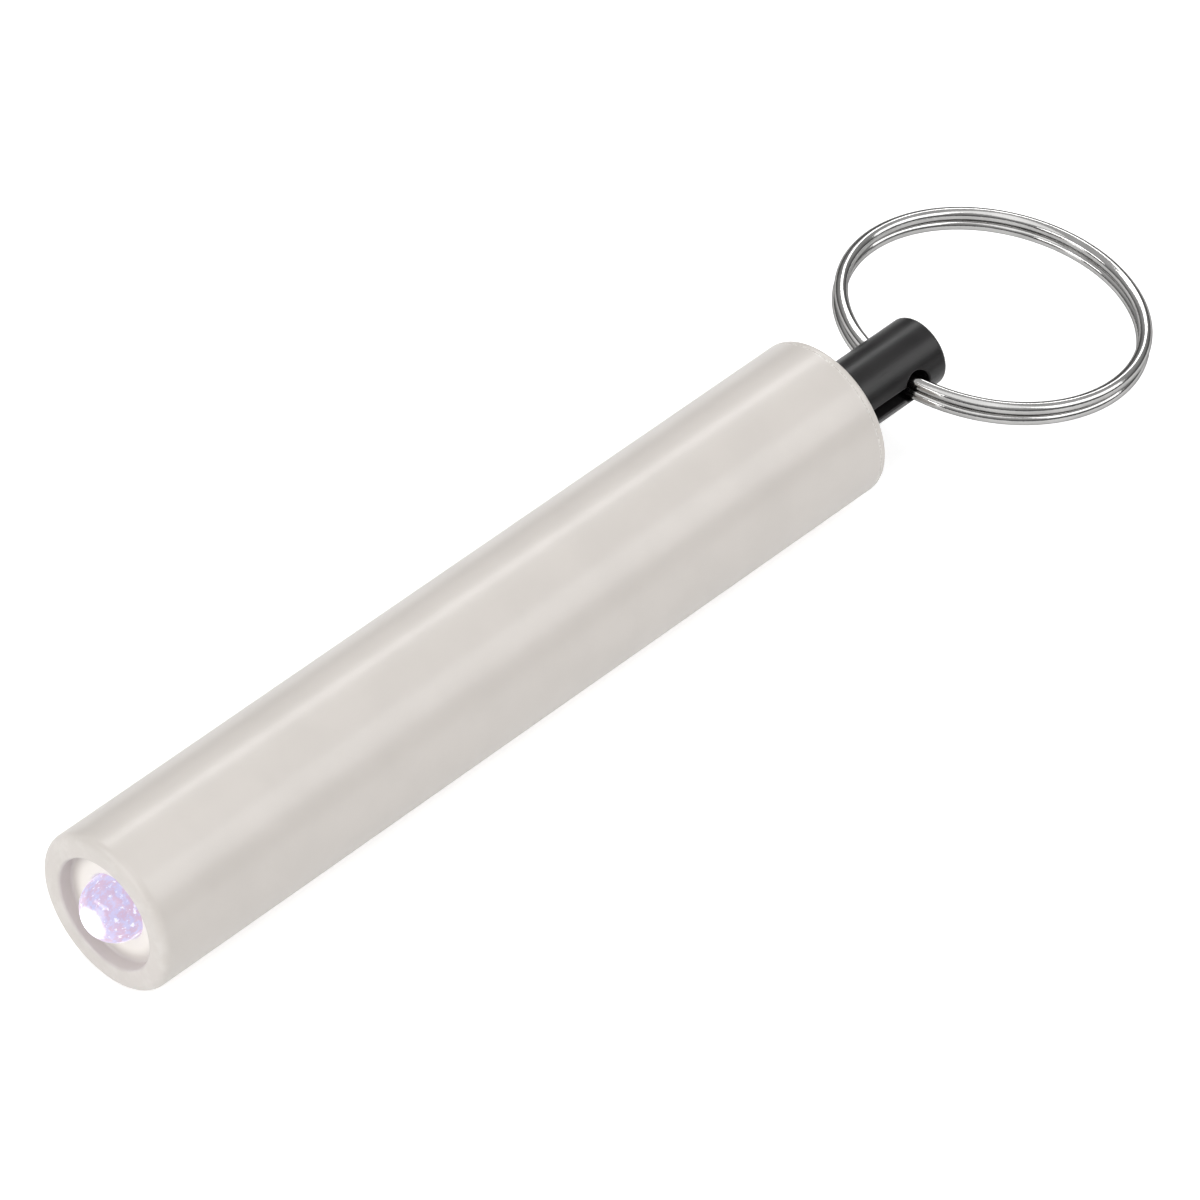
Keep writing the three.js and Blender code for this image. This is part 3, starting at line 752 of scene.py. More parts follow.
shell_plastic()
black_plastic()
nickel_plate()
led_epoxy()
plain_finish(
    "phosphor", (0.9, 0.83, 0.3), (0.86, 0.74, 0.2), 0.6, Drift_Size_mm=0.2, Grain_Size_mm=0.03
)
plain_finish(
    "white_plastic",
    (0.8, 0.79, 0.75),
    (0.74, 0.73, 0.69),
    0.48,
    Drift_Size_mm=5.0,
    Dust=0.3,
    bump=0.004,
)
laminate(
    "board_laminate", (0.03, 0.17, 0.07), (0.02, 0.12, 0.05), 0.36, 0.35, 0.5, bump=0.006
)
plain_finish(
    "black_epoxy", (0.02, 0.02, 0.022), (0.032, 0.031, 0.032), 0.55, Grain_Size_mm=0.05, bump=0.006
)
plain_finish(
    "ceramic", (0.45, 0.33, 0.19), (0.38, 0.27, 0.15), 0.5, Drift_Size_mm=0.6, bump=0.004
)
plain_finish(
    "ferrite", (0.03, 0.03, 0.032), (0.05, 0.05, 0.05), 0.7, Grain_Size_mm=0.07, bump=0.012
)
worn_metal(
    "copper_wire", (0.55, 0.2, 0.07), (0.44, 0.15, 0.05), 0.25, (0.62, 0.28, 0.12), (1.0, 0.2, 0.2)
)
worn_metal(
    "contact_brass", (0.72, 0.5, 0.18), (0.62, 0.42, 0.15), 0.28, (0.8, 0.6, 0.27), (1.0, 0.1, 1.0)
)
laminate("fibre", (0.34, 0.08, 0.04), (0.26, 0.055, 0.03), 0.75, 0.22, 0.6, bump=0.012)
worn_metal(
    "tinned_steel", (0.62, 0.62, 0.6), (0.54, 0.54, 0.53), 0.32, (0.7, 0.7, 0.68), (0.1, 1.0, 1.0)
)
worn_metal(
    "battery_metal", (0.66, 0.66, 0.64), (0.6, 0.6, 0.59), 0.22, (0.74, 0.74, 0.72), (0.1, 1.0, 1.0)
)
plain_finish(
    "label_film", (0.04, 0.08, 0.15), (0.05, 0.1, 0.18), 0.34, coat=0.4, Drift_Size_mm=9.0, bump=0.004
)
plain_finish(
    "nylon", (0.72, 0.70, 0.63), (0.66, 0.63, 0.56), 0.55, Drift_Size_mm=2.0, bump=0.005
)
worn_metal(
    "spring_steel", (0.42, 0.43, 0.44), (0.34, 0.34, 0.35), 0.27, (0.55, 0.55, 0.56), (1.0, 0.2, 0.2)
)

# ---- visible pieces ---------------------------------------------------------------------------


def make_barrel():
    rear = BARREL_REAR_X
    floor = NOSE_X + RECESS_DEPTH
    wall_back = floor + FRONT_WALL
    recess = BODY_RADIUS - NOSE_ROUND - LIP_LAND - LIP_ROUND
    outline = filleted(
        [
            (NOSE_X, BODY_RADIUS, NOSE_ROUND),
            (NOSE_X, recess, LIP_ROUND),
            (floor, recess, RECESS_CORNER),
            (floor, LENS_HOLE_RADIUS, FINE_EDGE),
            (wall_back, LENS_HOLE_RADIUS, 0),
            (wall_back, BORE_RADIUS, 0),
            (rear, BORE_RADIUS, 0),
            (rear, BODY_RADIUS, SEAM_EDGE),
        ]
    )
    barrel = new_piece("barrel_shell", turned(outline, BARREL_SEGMENTS))
    width, depth = STRIP_CHANNEL
    low = (BOARD_REAR_X, -width / 2, AXIS_Z + BORE_RADIUS / 2)
    high = (rear + MM, width / 2, AXIS_Z + BORE_RADIUS + depth)
    carved(barrel, box_mesh(low, high))
    return finish_piece(barrel, "light_body", "shell_plastic", "barrel")


def make_rear_cap():
    inner = CAP_FACE_X - CAP_GUIDE_LENGTH
    flange = CAP_FACE_X - CAP_FLANGE - SEAM_CLOSED
    outline = filleted(
        [
            (CAP_SKIRT_X, CAP_SKIRT_RADIUS, 0),
            (inner, CAP_SKIRT_RADIUS, FINE_EDGE),
            (inner, CAP_GUIDE_RADIUS, FINE_EDGE),
            (CAP_FACE_X, CAP_GUIDE_RADIUS, 2 * FINE_EDGE),
            (CAP_FACE_X, BODY_RADIUS, CAP_EDGE_ROUND),
            (flange, BODY_RADIUS, SEAM_EDGE),
            (flange, INSERT_RADIUS, 0),
            (CAP_SKIRT_X, INSERT_RADIUS, 2 * FINE_EDGE),
        ]
    )
    cap = new_piece("end_cap", turned(outline, BARREL_SEGMENTS))
    return finish_piece(cap, "rear_cap", "shell_plastic", "rear_cap")


def keyhole_outline(grow):
    """The keyhole seen along Y, as (x, z) points: a round hole with a slot that runs into the cap."""
    radius = RING_HOLE_RADIUS + grow
    half = SLOT_HALF + grow
    slot_end = CAP_FACE_X - SLOT_INSIDE_CAP - grow
    # The slot meets the hole at one angle, whatever the growth, so that all rows have matching points.
    meet = math.pi - math.asin(SLOT_HALF / RING_HOLE_RADIUS)
    arc = [meet - 2 * meet * i / KEYHOLE_ARC_STEPS for i in range(KEYHOLE_ARC_STEPS + 1)]
    points = [(RING_HOLE.x + radius * math.cos(a), radius * math.sin(a)) for a in arc]
    points[0] = (points[0][0], half)
    points[-1] = (points[-1][0], -half)
    straight = [i / KEYHOLE_SIDE_STEPS for i in range(1, KEYHOLE_SIDE_STEPS + 1)]
    lower = [(points[-1][0] + (slot_end - points[-1][0]) * t, -half) for t in straight]
    across = [i / KEYHOLE_END_STEPS for i in range(1, KEYHOLE_END_STEPS)]
    end = [(slot_end, -half + 2 * half * t) for t in across]
    upper = [(x, half) for x, _ in reversed(lower)]
    return points + lower + end + upper


def keyhole_tool():
    """The shape cut through the plunger, flared at both mouths so that their edges come out round."""
    rows = []
    flare = [math.radians(a) for a in range(0, 81, 10)]
    for angle in flare:
        grow = KEYHOLE_EDGE * (1 - math.cos(angle))
        sink = KEYHOLE_EDGE * (1 - math.sin(angle))
        row = []
        for x, z in keyhole_outline(grow):
            surface = math.sqrt(max(PLUNGER_RADIUS**2 - z**2, 0))
            row.append((x, surface - sink, AXIS_Z + z))
        rows.append(row)
    rows.append([(x, PLUNGER_RADIUS + KEYHOLE_TOOL_EXTRA, z) for x, _, z in rows[-1]])
    mirrored = [[(x, -y, z) for x, y, z in row] for row in rows]
    bm = bmesh.new()
    loops = [[bm.verts.new(p) for p in row] for row in reversed(rows)]
    loops += [[bm.verts.new(p) for p in row] for row in mirrored]
    for loop, following in zip(loops, loops[1:]):
        for i in range(len(loop)):
            j = (i + 1) % len(loop)
            bm.faces.new((loop[i], loop[j], following[j], following[i]))
    bm.faces.new(loops[0])
    bm.faces.new(loops[-1])
    return bm


def make_plunger():
    shoulder_radius, shoulder_thickness = PLUNGER_SHOULDER
    front = low_x("plunger")
    disc_low, disc_high = low_x("contact_disc"), high_x("contact_disc")
    shoulder_rear = CAP_FACE_X - CAP_GUIDE_LENGTH - SHOULDER_GAP
    shoulder_front = shoulder_rear - shoulder_thickness
    outline = filleted(
        [
            (front, 0, 0),
            (front, PLUNGER_STAKE_RADIUS, FINE_EDGE),
            (disc_low - DISC_PLAY, PLUNGER_STAKE_RADIUS, 0),
            (disc_low - DISC_PLAY, PLUNGER_NECK_RADIUS, 0),
            (disc_high + DISC_PLAY, PLUNGER_NECK_RADIUS, 0),
            (disc_high + DISC_PLAY, PLUNGER_BOSS_RADIUS, 0),
            (shoulder_front, PLUNGER_BOSS_RADIUS, 0),
            (shoulder_front, shoulder_radius, FINE_EDGE),
            (shoulder_rear, shoulder_radius, FINE_EDGE),
            (shoulder_rear, PLUNGER_RADIUS, 0),
            (PLUNGER_END_X, PLUNGER_RADIUS, PLUNGER_EDGE),
            (PLUNGER_END_X, 0, 0),
        ]
    )
    plunger = new_piece("push_plunger", turned(outline, SMALL_SEGMENTS))
    carved(plunger, keyhole_tool())
    return finish_piece(plunger, "plunger", "black_plastic", "plunger")


# ---- wire made by Geometry Nodes ----------------------------------------------------------------


def wire_tree(name, sizes, path_of):
    """A Geometry Nodes tree that sweeps an oval wire along a path with a rule.

    sizes are (input name, default). path_of(tree, t, given) gives the X, Y and Z of the path at t.
    """
    tree = bpy.data.node_groups.new(name, "GeometryNodeTree")
    tree.interface.new_socket("Geometry", in_out="INPUT", socket_type="NodeSocketGeometry")
    for title, default in sizes:
        kind = "NodeSocketInt" if isinstance(default, int) else "NodeSocketFloat"
        socket = tree.interface.new_socket(title, in_out="INPUT", socket_type=kind)
        socket.default_value = default
    tree.interface.new_socket("Material", in_out="INPUT", socket_type="NodeSocketMaterial")
    tree.interface.new_socket("Geometry", in_out="OUTPUT", socket_type="NodeSocketGeometry")
    given = tree.nodes.new("NodeGroupInput").outputs
    line = new_node(tree, "GeometryNodeCurvePrimitiveLine")
    resampled = new_node(
        tree,
        "GeometryNodeResampleCurve",
        {"Curve": line.outputs["Curve"], "Count": given["Steps"]},
        mode="COUNT",
    )
    t = tree.nodes.new("GeometryNodeSplineParameter").outputs["Factor"]
    x, y, z = path_of(tree, t, given)
    place = new_node(tree, "ShaderNodeCombineXYZ", {"X": x, "Y": y, "Z": z})
    path = new_node(
        tree,
        "GeometryNodeSetPosition",
        {"Geometry": resampled.outputs["Curve"], "Position": place.outputs["Vector"]},
    )
    upright = new_node(
        tree,
        "GeometryNodeSetCurveNormal",
        {"Curve": path.outputs["Geometry"]},
        mode="Z_UP",
    )
    circle = new_node(
        tree, "GeometryNodeCurvePrimitiveCircle", {"Resolution": given["Sides"], "Radius": 0.5}
    )
    section_size = new_node(
        tree, "ShaderNodeCombineXYZ", {"X": given["Width"], "Y": given["Thickness"], "Z": 1.0}
    )
    section = new_node(
        tree,
        "GeometryNodeTransform",
        {"Geometry": circle.outputs["Curve"], "Scale": section_size.outputs["Vector"]},
    )
    swept = new_node(
        tree,
        "GeometryNodeCurveToMesh",
        {
            "Curve": upright.outputs["Curve"],
            "Profile Curve": section.outputs["Geometry"],
            "Fill Caps": True,
        },
    )
    realized = new_node(tree, "GeometryNodeRealizeInstances", {"Geometry": swept.outputs["Mesh"]})
    painted = new_node(
        tree,
        "GeometryNodeSetMaterial",
        {"Geometry": realized.outputs["Geometry"], "Material": given["Material"]},
    )
    out = tree.nodes.new("NodeGroupOutput")
    tree.links.new(painted.outputs["Geometry"], out.inputs["Geometry"])
    return tree


def split_ring_path(tree, t, given):
    """Two turns on one circle, with a step up from the first turn to the second."""
    whole = arithmetic(tree, "SUBTRACT", 4 * math.pi, given["Step Arc"])
    angle = arithmetic(tree, "MULTIPLY", t, whole)
    step_start = arithmetic(tree, "SUBTRACT", 2 * math.pi, given["Step Arc"])
    level = ramp_between(tree, angle, step_start, 2 * math.pi, -0.5, 0.5)
    around = arithmetic(tree, "ADD", angle, arithmetic(tree, "MULTIPLY", given["Step Arc"], 0.5))
    around = arithmetic(tree, "ADD", around, given["Step Angle"])
    return (
        arithmetic(tree, "MULTIPLY", arithmetic(tree, "COSINE", around), given["Mean Radius"]),
        arithmetic(tree, "MULTIPLY", arithmetic(tree, "SINE", around), given["Mean Radius"]),
        arithmetic(tree, "MULTIPLY", level, given["Turn Pitch"]),
    )


def coil_path(tree, t, given):
    """A coil about Z whose end half turns lie flat, and whose radius may change along it."""
    flat = arithmetic(tree, "DIVIDE", 0.5, given["Turns"])
    rise = ramp_between(tree, t, flat, arithmetic(tree, "SUBTRACT", 1.0, flat), smooth=False)
    spread = arithmetic(tree, "SUBTRACT", given["End Radius"], given["Start Radius"])
    radius = arithmetic(tree, "ADD", given["Start Radius"], arithmetic(tree, "MULTIPLY", spread, t))
    whole = arithmetic(tree, "MULTIPLY", given["Turns"], 2 * math.pi)
    angle = arithmetic(tree, "MULTIPLY", t, whole)
    return (
        arithmetic(tree, "MULTIPLY", arithmetic(tree, "COSINE", angle), radius),
        arithmetic(tree, "MULTIPLY", arithmetic(tree, "SINE", angle), radius),
        arithmetic(tree, "MULTIPLY", rise, given["Length"]),
    )


def wire_from_tree(name, tree, slot, values, place):
    """Runs a wire tree with the given sizes, and keeps its result as a plain mesh in its place."""
    holder = bpy.data.objects.new(name, bpy.data.meshes.new(name))
    bpy.context.scene.collection.objects.link(holder)
    modifier = holder.modifiers.new("wire", "NODES")
    modifier.node_group = tree
    sockets = {s.name: s.identifier for s in tree.interface.items_tree if s.in_out == "INPUT"}
    for title, value in values.items():
        modifier[sockets[title]] = value
    modifier[sockets["Material"]] = FINISHES[slot]
    apply_modifiers(holder)
    bm = bmesh.new()
    bm.from_mesh(holder.data)
    bmesh.ops.remove_doubles(bm, verts=bm.verts, dist=MERGE_DISTANCE)
    bmesh.ops.transform(bm, matrix=place, verts=bm.verts)
    bpy.data.objects.remove(holder)
    return new_piece(name, bm)


def make_split_ring(ring_tree):
    place = (
        Matrix.Translation(RING_HOLE)
        @ Matrix.Rotation(RING_DROOP, 4, "Y")
        @ Matrix.Rotation(RING_TIP, 4, "X")
        @ Matrix.Translation((RING_CENTRE, 0, 0))
    )
    values = {
        "Mean Radius": WIRE_MEAN_RADIUS,
        "Turn Pitch": WIRE_TURN_PITCH,
        "Step Arc": WIRE_STEP_ARC,
        "Step Angle": math.pi,
        "Width": WIRE_WIDTH,
        "Thickness": WIRE_THICKNESS,
        "Steps": RING_STEPS,
        "Sides": RING_SIDES,
    }
    ring = wire_from_tree("key_ring", ring_tree, "nickel_plate", values, place)
    return finish_piece(ring, "split_ring", "nickel_plate", "split_ring")


RING_SIZES = [
    ("Mean Radius", 0.0115),
    ("Turn Pitch", 0.001),
    ("Step Arc", 0.35),
    ("Step Angle", 3.14),
    ("Width", 0.001),
    ("Thickness", 0.001),
    ("Steps", 200),
    ("Sides", 16),
]
COIL_SIZES = [
    ("Start Radius", 0.003),
    ("End Radius", 0.003),
    ("Length", 0.004),
    ("Turns", 4.0),
    ("Width", 0.0004),
    ("Thickness", 0.0004),
    ("Steps", 200),
    ("Sides", 12),
]


# ---- LED --------------------------------------------------------------------------------------


def make_lens():
    base = high_x("led_lens")
    flange_radius, flange_thickness = LENS_FLANGE
    angles = [math.radians(90 * i / DOME_STEPS) for i in range(DOME_STEPS + 1)]
    centre_x = LENS_TIP_X + LENS_RADIUS
    dome = [(centre_x - LENS_RADIUS * math.cos(a), LENS_RADIUS * math.sin(a)) for a in angles]
    rear = filleted(
        [
            (base - flange_thickness, LENS_RADIUS, 0),
            (base - flange_thickness, flange_radius, FINE_EDGE),
            (base, flange_radius, FINE_EDGE),
            (base, 0, 0),
        ],
        SMALL_ROUND_STEPS,
    )
    lens = new_piece("led_dome", turned(dome + rear, SMALL_SEGMENTS))
    return finish_piece(lens, "light_body", "led_epoxy", "led_lens")


# ---- inside: LED, holder and driver ----------------------------------------------------------


def small_turned(name, corners, **centre):
    return new_piece(name, turned(filleted(corners, SMALL_ROUND_STEPS), SMALL_SEGMENTS, **centre))


def turned_piece(name, node, slot, corners, body="light_body", **centre):
    """A turned piece with small roundings, in the place of its CAD node."""
    return finish_piece(small_turned(name, corners, **centre), body, slot, node)


def drill(front, rear, radius, offset):
    """A tool that cuts a round hole along X, at a height above the axis."""
    outline = [(front - MM, 0), (front - MM, radius), (rear + MM, radius), (rear + MM, 0)]
    return turned(outline, DRILL_SEGMENTS, centre_z=AXIS_Z + offset)


def disc_corners(node, radius, rounding):
    front, rear = low_x(node), high_x(node)
    return [(front, 0, 0), (front, radius, rounding), (rear, radius, rounding), (rear, 0, 0)]


def washer_corners(node, inner, outer, rounding=FINE_EDGE):
    front, rear = low_x(node), high_x(node)
    return [
        (front, inner, rounding),
        (rear, inner, rounding),
        (rear, outer, rounding),
        (front, outer, rounding),
    ]


def make_led_parts():
    for name, node in (("cathode_lead", "led_cathode_frame"), ("anode_lead", "led_anode_frame")):
        lead = softened_copy(name, node, LEAD_ROUND)
        finish_piece(lead, "light_body", "tinned_steel", node)
    chip = softened_copy("light_chip", "led_chip", CHIP_ROUND)
    finish_piece(chip, "light_body", "phosphor", "led_chip")


def make_led_holder():
    front, rear = low_x("led_holder"), high_x("led_holder")
    ledge = high_x("led_lens") - LENS_FLANGE[1] - SEAT_GAP
    skirt = high_x("led_lens") + SEAT_GAP
    corners = [
        (front, LENS_HOLE_RADIUS, FINE_EDGE),
        (ledge, LENS_HOLE_RADIUS, 0),
        (ledge, HOLDER_SEAT_RADIUS, 0),
        (skirt, HOLDER_SEAT_RADIUS, FINE_EDGE),
        (skirt, HOLDER_SKIRT_RADIUS, 0),
        (rear, HOLDER_SKIRT_RADIUS, FINE_EDGE),
        (rear, INSERT_RADIUS, FINE_EDGE),
        (front, INSERT_RADIUS, FINE_EDGE),
    ]
    turned_piece("lamp_holder", "led_holder", "white_plastic", corners)


def make_board():
    front, rear = low_x("driver_board"), high_x("driver_board")
    board = small_turned("round_board", disc_corners("driver_board", INSERT_RADIUS, BOARD_EDGE))
    for offset in (LEG_OFFSET, -LEG_OFFSET):
        carved(board, drill(front, rear, LEG_HOLE_RADIUS, offset))
    finish_piece(board, "light_body", "board_laminate", "driver_board")


def make_board_parts():
    chip = softened_copy("boost_chip", "driver_chip", 2 * BOARD_EDGE)
    finish_piece(chip, "light_body", "black_epoxy", "driver_chip")
    capacitor = softened_copy("chip_capacitor", "board_capacitor", 2 * BOARD_EDGE)
    finish_piece(capacitor, "light_body", "ceramic", "board_capacitor")
    front, rear = low_x("boost_coil_core"), high_x("boost_coil_core")
    corners = [
        (front, 0, 0),
        (front, COIL_RADIUS, FINE_EDGE),
        (front + COIL_FLANGE, COIL_RADIUS, FINE_EDGE),
        (front + COIL_FLANGE, COIL_WAIST, 0),
        (rear - COIL_FLANGE, COIL_WAIST, 0),
        (rear - COIL_FLANGE, COIL_RADIUS, FINE_EDGE),
        (rear, COIL_RADIUS, FINE_EDGE),
        (rear, 0, 0),
    ]
    turned_piece(
        "coil_bobbin", "boost_coil_core", "ferrite", corners, centre_y=COIL_OFFSET
    )


def make_coil_winding(coil_tree):
    """Three close layers of enamelled wire on the bobbin."""
    front, rear = low_x("boost_coil_winding"), high_x("boost_coil_winding")
    layers = bmesh.new()
    for number, radius in enumerate(WINDING_RADII):
        values = coil_values(radius, radius, front, rear, WINDING_TURNS, WINDING_WIRE)
        place = coil_place(front + WINDING_WIRE / 2, COIL_OFFSET)
        layer = wire_from_tree(f"layer_{number}", coil_tree, "copper_wire", values, place)
        layers.from_mesh(layer.data)
        bpy.data.objects.remove(layer)
    winding = new_piece("coil_winding", layers)
    finish_piece(winding, "light_body", "copper_wire", "boost_coil_winding")


def make_contacts():
    front, nose = low_x("positive_contact"), high_x("positive_contact")
    radius, thickness = CONTACT_PLATE
    corners = [
        (front, 0, 0),
        (front, radius, LEAD_ROUND),
        (front + thickness, radius, LEAD_ROUND),
        (nose, CONTACT_NOSE_RADIUS, FINE_EDGE),
        (nose, 0, 0),
    ]
    turned_piece("cell_contact", "positive_contact", "contact_brass", corners)
    corners = washer_corners("insulator_ring", *INSULATOR_RADII)
    turned_piece("fibre_washer", "insulator_ring", "fibre", corners)
    strip = softened_copy("current_strip", "return_strip", LEAD_ROUND)
    finish_piece(strip, "light_body", "tinned_steel", "return_strip")


# ---- inside: cell -----------------------------------------------------------------------------


def make_cell():
    front, rear = low_x("battery_can"), high_x("battery_can")
    nub_radius, nub_height = CAN_NUB
    inner = CAN_RADIUS - CAN_RIM_WALL
    corners = [
        (front, 0, 0),
        (front, nub_radius, 2 * FINE_EDGE),
        (front + nub_height, nub_radius, FINE_EDGE),
        (front + nub_height, CAN_RADIUS, CAN_SHOULDER),
        (rear, CAN_RADIUS, FINE_EDGE),
        (rear, inner, FINE_EDGE),
        (rear - CAN_RECESS, inner, 0),
        (rear - CAN_RECESS, 0, 0),
    ]
    turned_piece("cell_can", "battery_can", "battery_metal", corners)
    corners = washer_corners("battery_label", *LABEL_RADII, rounding=0)
    turned_piece("cell_film", "battery_label", "label_film", corners)
    corners = washer_corners("battery_seal", *SEAL_RADII)
    turned_piece("cell_seal", "battery_seal", "nylon", corners)
    front, rear = low_x("battery_end_cap"), high_x("battery_end_cap")
    rim = END_CAP_RADIUS - END_CAP_RIM
    step = high_x("battery_can")
    corners = [
        (front, 0, 0),
        (front, END_CAP_RADIUS, LEAD_ROUND),
        (step, END_CAP_RADIUS, FINE_EDGE),
        (step, rim, FINE_EDGE),
        (rear, rim - END_CAP_LEAN, 2 * FINE_EDGE),
        (rear, 0, 0),
    ]
    turned_piece("cell_end", "battery_end_cap", "tinned_steel", corners)


# ---- inside: switch ---------------------------------------------------------------------------


def coil_values(start_radius, end_radius, front, rear, turns, wire):
    return {
        "Start Radius": start_radius,
        "End Radius": end_radius,
        "Length": rear - front - wire,
        "Turns": turns,
        "Width": wire,
        "Thickness": wire,
        "Steps": int(turns * COIL_STEPS_PER_TURN) + 1,
        "Sides": COIL_SIDES,
    }


def coil_place(x, y=0.0):
    """Turns a coil about Z into one about X that starts at the station x."""
    turn = Matrix(((0, 0, 1, 0), (1, 0, 0, 0), (0, 1, 0, 0), (0, 0, 0, 1)))
    return Matrix.Translation((x, y, AXIS_Z)) @ turn


def make_spring(name, node, coil_tree, radii, turns, wire):
    front, rear = low_x(node), high_x(node)
    values = coil_values(*radii, front, rear, turns, wire)
    spring = wire_from_tree(name, coil_tree, "spring_steel", values, coil_place(front + wire / 2))
    return finish_piece(spring, "light_body", "spring_steel", node)


def make_springs(coil_tree):
    make_spring(
        "cell_spring",
        "battery_spring",
        coil_tree,
        BATTERY_SPRING_RADII,
        BATTERY_SPRING_TURNS,
        BATTERY_SPRING_WIRE,
    )
    spring = make_spring(
        "plunger_spring",
        "return_spring",
        coil_tree,
        (RETURN_SPRING_RADIUS, RETURN_SPRING_RADIUS),
        RETURN_SPRING_TURNS,
        RETURN_SPRING_WIRE,
    )
    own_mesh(spring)


def rivet_hole(front, rear):
    return drill(front, rear, RIVET_SHANK_RADIUS + SEAT_GAP / 2, -RIVET_OFFSET)


def make_spring_plate():
    corners = disc_corners("spring_plate", SPRING_PLATE_RADIUS, LEAD_ROUND)
    plate = small_turned("spring_seat", corners)
    carved(plate, rivet_hole(low_x("spring_plate"), high_x("spring_plate")))
    finish_piece(plate, "light_body", "contact_brass", "spring_plate")


def make_rivet():
    front, rear = low_x("contact_rivet"), high_x("contact_rivet")
    radius, head = RIVET_HEAD
    corners = [
        (front, 0, 0),
        (front, radius, FINE_EDGE),
        (front + head, radius, 0),
        (front + head, RIVET_SHANK_RADIUS, 0),
        (rear - head, RIVET_SHANK_RADIUS, 0),
        (rear - head, radius, 0),
        (rear, radius, FINE_EDGE),
        (rear, 0, 0),
    ]
    below = AXIS_Z - RIVET_OFFSET
    turned_piece("switch_rivet", "contact_rivet", "contact_brass", corners, centre_z=below)


def make_switch_carrier():
    front, rear = low_x("switch_carrier"), high_x("switch_carrier")
    width, height = CARRIER_LEDGE
    floor = front + CARRIER_FLOOR
    ledge = CARRIER_POCKET_RADIUS - width
    corners = [
        (front, CARRIER_HOLE_RADIUS, FINE_EDGE),
        (front, INSERT_RADIUS, FINE_EDGE),
        (rear, INSERT_RADIUS, FINE_EDGE),
        (rear, CARRIER_POCKET_RADIUS, FINE_EDGE),
        (floor + height, CARRIER_POCKET_RADIUS, 0),
        (floor + height, ledge, FINE_EDGE),
        (floor, ledge, 0),
        (floor, CARRIER_HOLE_RADIUS, FINE_EDGE),
    ]
    carrier = small_turned("contact_carrier", corners)
    low = (floor, -STRIP_SLOT / 2, AXIS_Z + ledge - MM)
    high = (rear + MM, STRIP_SLOT / 2, AXIS_Z + INSERT_RADIUS + MM)
    carved(carrier, box_mesh(low, high))
    carved(carrier, rivet_hole(front, floor))
    finish_piece(carrier, "light_body", "white_plastic", "switch_carrier")


def make_switch_disc():
    corners = washer_corners("contact_disc", *DISC_RADII, rounding=LEAD_ROUND)
    turned_piece("switch_disc", "contact_disc", "contact_brass", corners, body="plunger")


# ---- studio -----------------------------------------------------------------------------------

VIEW_BACK = Vector((-0.5282, -0.5137, 0.6761)).normalized()
VIEW_RIGHT = Vector((0, 0, 1)).cross(VIEW_BACK).normalized()
VIEW_UP = VIEW_BACK.cross(VIEW_RIGHT)
VIEW_DISTANCE = 0.6916
AIM_RIGHT = 0.03435
AIM_UP = 0.0218
LENS_LENGTH = 300.0
SENSOR = 36.0
CLIP_START = 0.01
CLIP_END = 50.0
HORIZON_LIGHT = 0.10
ZENITH_LIGHT = 0.62
ZENITH_HEIGHT = 0.9
FLOOR_SIZE = 3.0
FLOOR_FILL = 0.20
FLOOR_WHITE = 0.55
SOFTBOX_DISTANCE = 0.9

# Each soft light: name, direction from the object, width, height, brightness, the way its width runs.
SOFTBOXES = [
    ("overhead", (-0.1, -0.3, 1.0), 1.0, 0.7, 0.85, (1, 0, 0)),
    ("back_strip", (0.50, 0.52, 0.67), 0.8, 0.16, 4.2, (1, 0, 0)),
    ("side_box", (0.53, -0.60, 0.59), 0.8, 0.46, 2.1, (1, 0, 0)),
    ("front_strip", (-0.80, 0.17, 0.55), 0.9, 0.13, 5.0, (0, 1, 0)),
    ("front_fill", (-0.99, 0.05, 0.14), 0.6, 0.5, 2.6, (0, 1, 0)),
]


def make_camera():
    data = bpy.data.cameras.new("studio_camera")
    data.lens = LENS_LENGTH
    data.sensor_width = SENSOR
    data.clip_start = CLIP_START
    data.clip_end = CLIP_END
    camera = bpy.data.objects.new("studio_camera", data)
    bpy.context.scene.collection.objects.link(camera)
    nose = Vector((NOSE_X, 0, AXIS_Z))
    aim = nose + VIEW_RIGHT * AIM_RIGHT + VIEW_UP * AIM_UP
    axes = Matrix((VIEW_RIGHT, VIEW_UP, VIEW_BACK)).transposed().to_4x4()
    camera.matrix_world = Matrix.Translation(aim + VIEW_BACK * VIEW_DISTANCE) @ axes
    bpy.context.scene.camera = camera


def make_softbox(name, direction, width, height, brightness, along):
    """A soft light that faces the object; brightness 1 is as bright as white paper."""
    data = bpy.data.lights.new(name, "AREA")
    data.shape = "RECTANGLE"
    data.size = width
    data.size_y = height
    data.energy = brightness * math.pi * width * height
    lamp = bpy.data.objects.new(name, data)
    bpy.context.scene.collection.objects.link(lamp)
    outward = Vector(direction).normalized()
    side = (Vector(along) - outward * Vector(along).dot(outward)).normalized()
    axes = Matrix((side, outward.cross(side), outward)).transposed().to_4x4()
    lamp.matrix_world = Matrix.Translation(outward * SOFTBOX_DISTANCE) @ axes


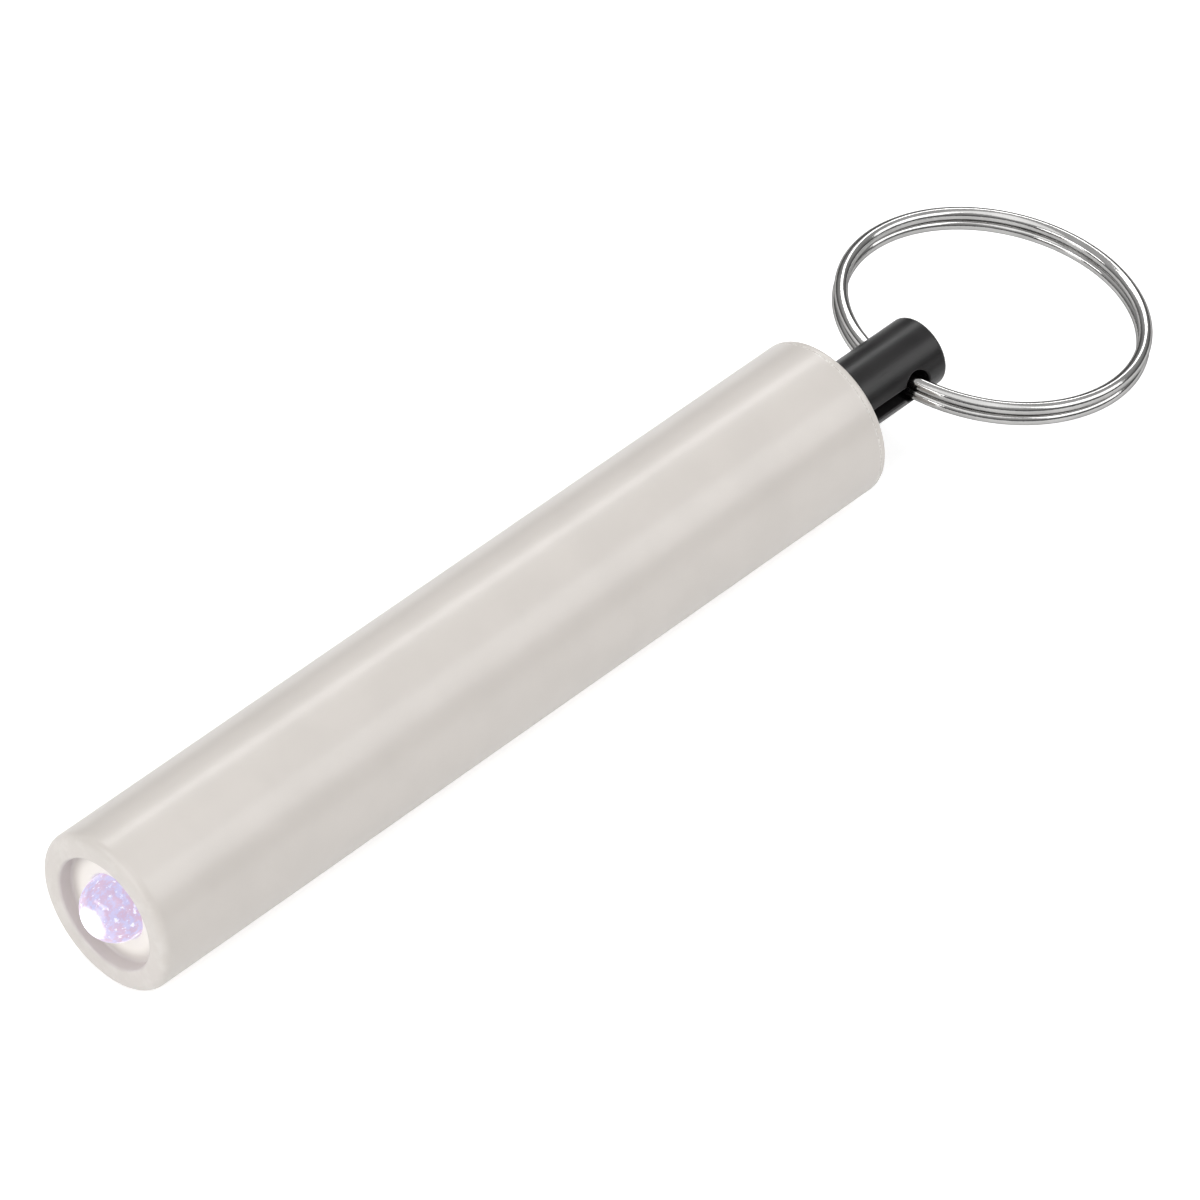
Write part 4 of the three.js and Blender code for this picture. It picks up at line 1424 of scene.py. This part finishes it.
def make_sky():
    """Soft light from all round, dimmer towards the horizon, on a plain white backdrop."""
    world = bpy.data.worlds.new("studio")
    bpy.context.scene.world = world
    world.use_nodes = True
    tree = world.node_tree
    direction = tree.nodes.new("ShaderNodeTexCoord").outputs["Generated"]
    parts = new_node(tree, "ShaderNodeSeparateXYZ", {"Vector": direction})
    level = ramp_between(tree, parts.outputs["Z"], 0.0, ZENITH_HEIGHT, HORIZON_LIGHT, ZENITH_LIGHT)
    seen = tree.nodes.new("ShaderNodeLightPath").outputs["Is Camera Ray"]
    strength = arithmetic(tree, "MAXIMUM", level, seen)
    background = tree.nodes["Background"]
    background.inputs["Color"].default_value = (1, 1, 1, 1)
    put(tree, background.inputs["Strength"], strength)


def make_floor():
    """A plain white table, softly lit from beneath as well."""
    bm = bmesh.new()
    bmesh.ops.create_grid(bm, x_segments=1, y_segments=1, size=FLOOR_SIZE)
    floor = new_piece("table", bm)
    material = bpy.data.materials.new("white_table")
    material.use_nodes = True
    shader = material.node_tree.nodes["Principled BSDF"]
    shader.inputs["Base Color"].default_value = (0.8, 0.8, 0.8, 1)
    shader.inputs["Roughness"].default_value = 0.9
    shader.inputs["Specular IOR Level"].default_value = 0.0
    shader.inputs["Emission Color"].default_value = (1, 1, 1, 1)
    seen = material.node_tree.nodes.new("ShaderNodeLightPath").outputs["Is Camera Ray"]
    glow = ramp_between(material.node_tree, seen, 0.0, 1.0, FLOOR_FILL, FLOOR_WHITE, smooth=False)
    put(material.node_tree, shader.inputs["Emission Strength"], glow)
    floor.data.materials.append(material)


def make_studio():
    make_camera()
    make_sky()
    make_floor()
    for lamp in SOFTBOXES:
        make_softbox(*lamp)
    bpy.context.scene.view_settings.view_transform = "Standard"


RING_TREE = wire_tree("split_ring_wire", RING_SIZES, split_ring_path)
COIL_TREE = wire_tree("coiled_wire", COIL_SIZES, coil_path)

make_studio()
make_barrel()
make_rear_cap()
make_plunger()
make_split_ring(RING_TREE)
make_lens()
make_led_parts()
make_led_holder()
make_board()
make_board_parts()
make_coil_winding(COIL_TREE)
make_contacts()
make_cell()
make_springs(COIL_TREE)
make_spring_plate()
make_rivet()
make_switch_carrier()
make_switch_disc()
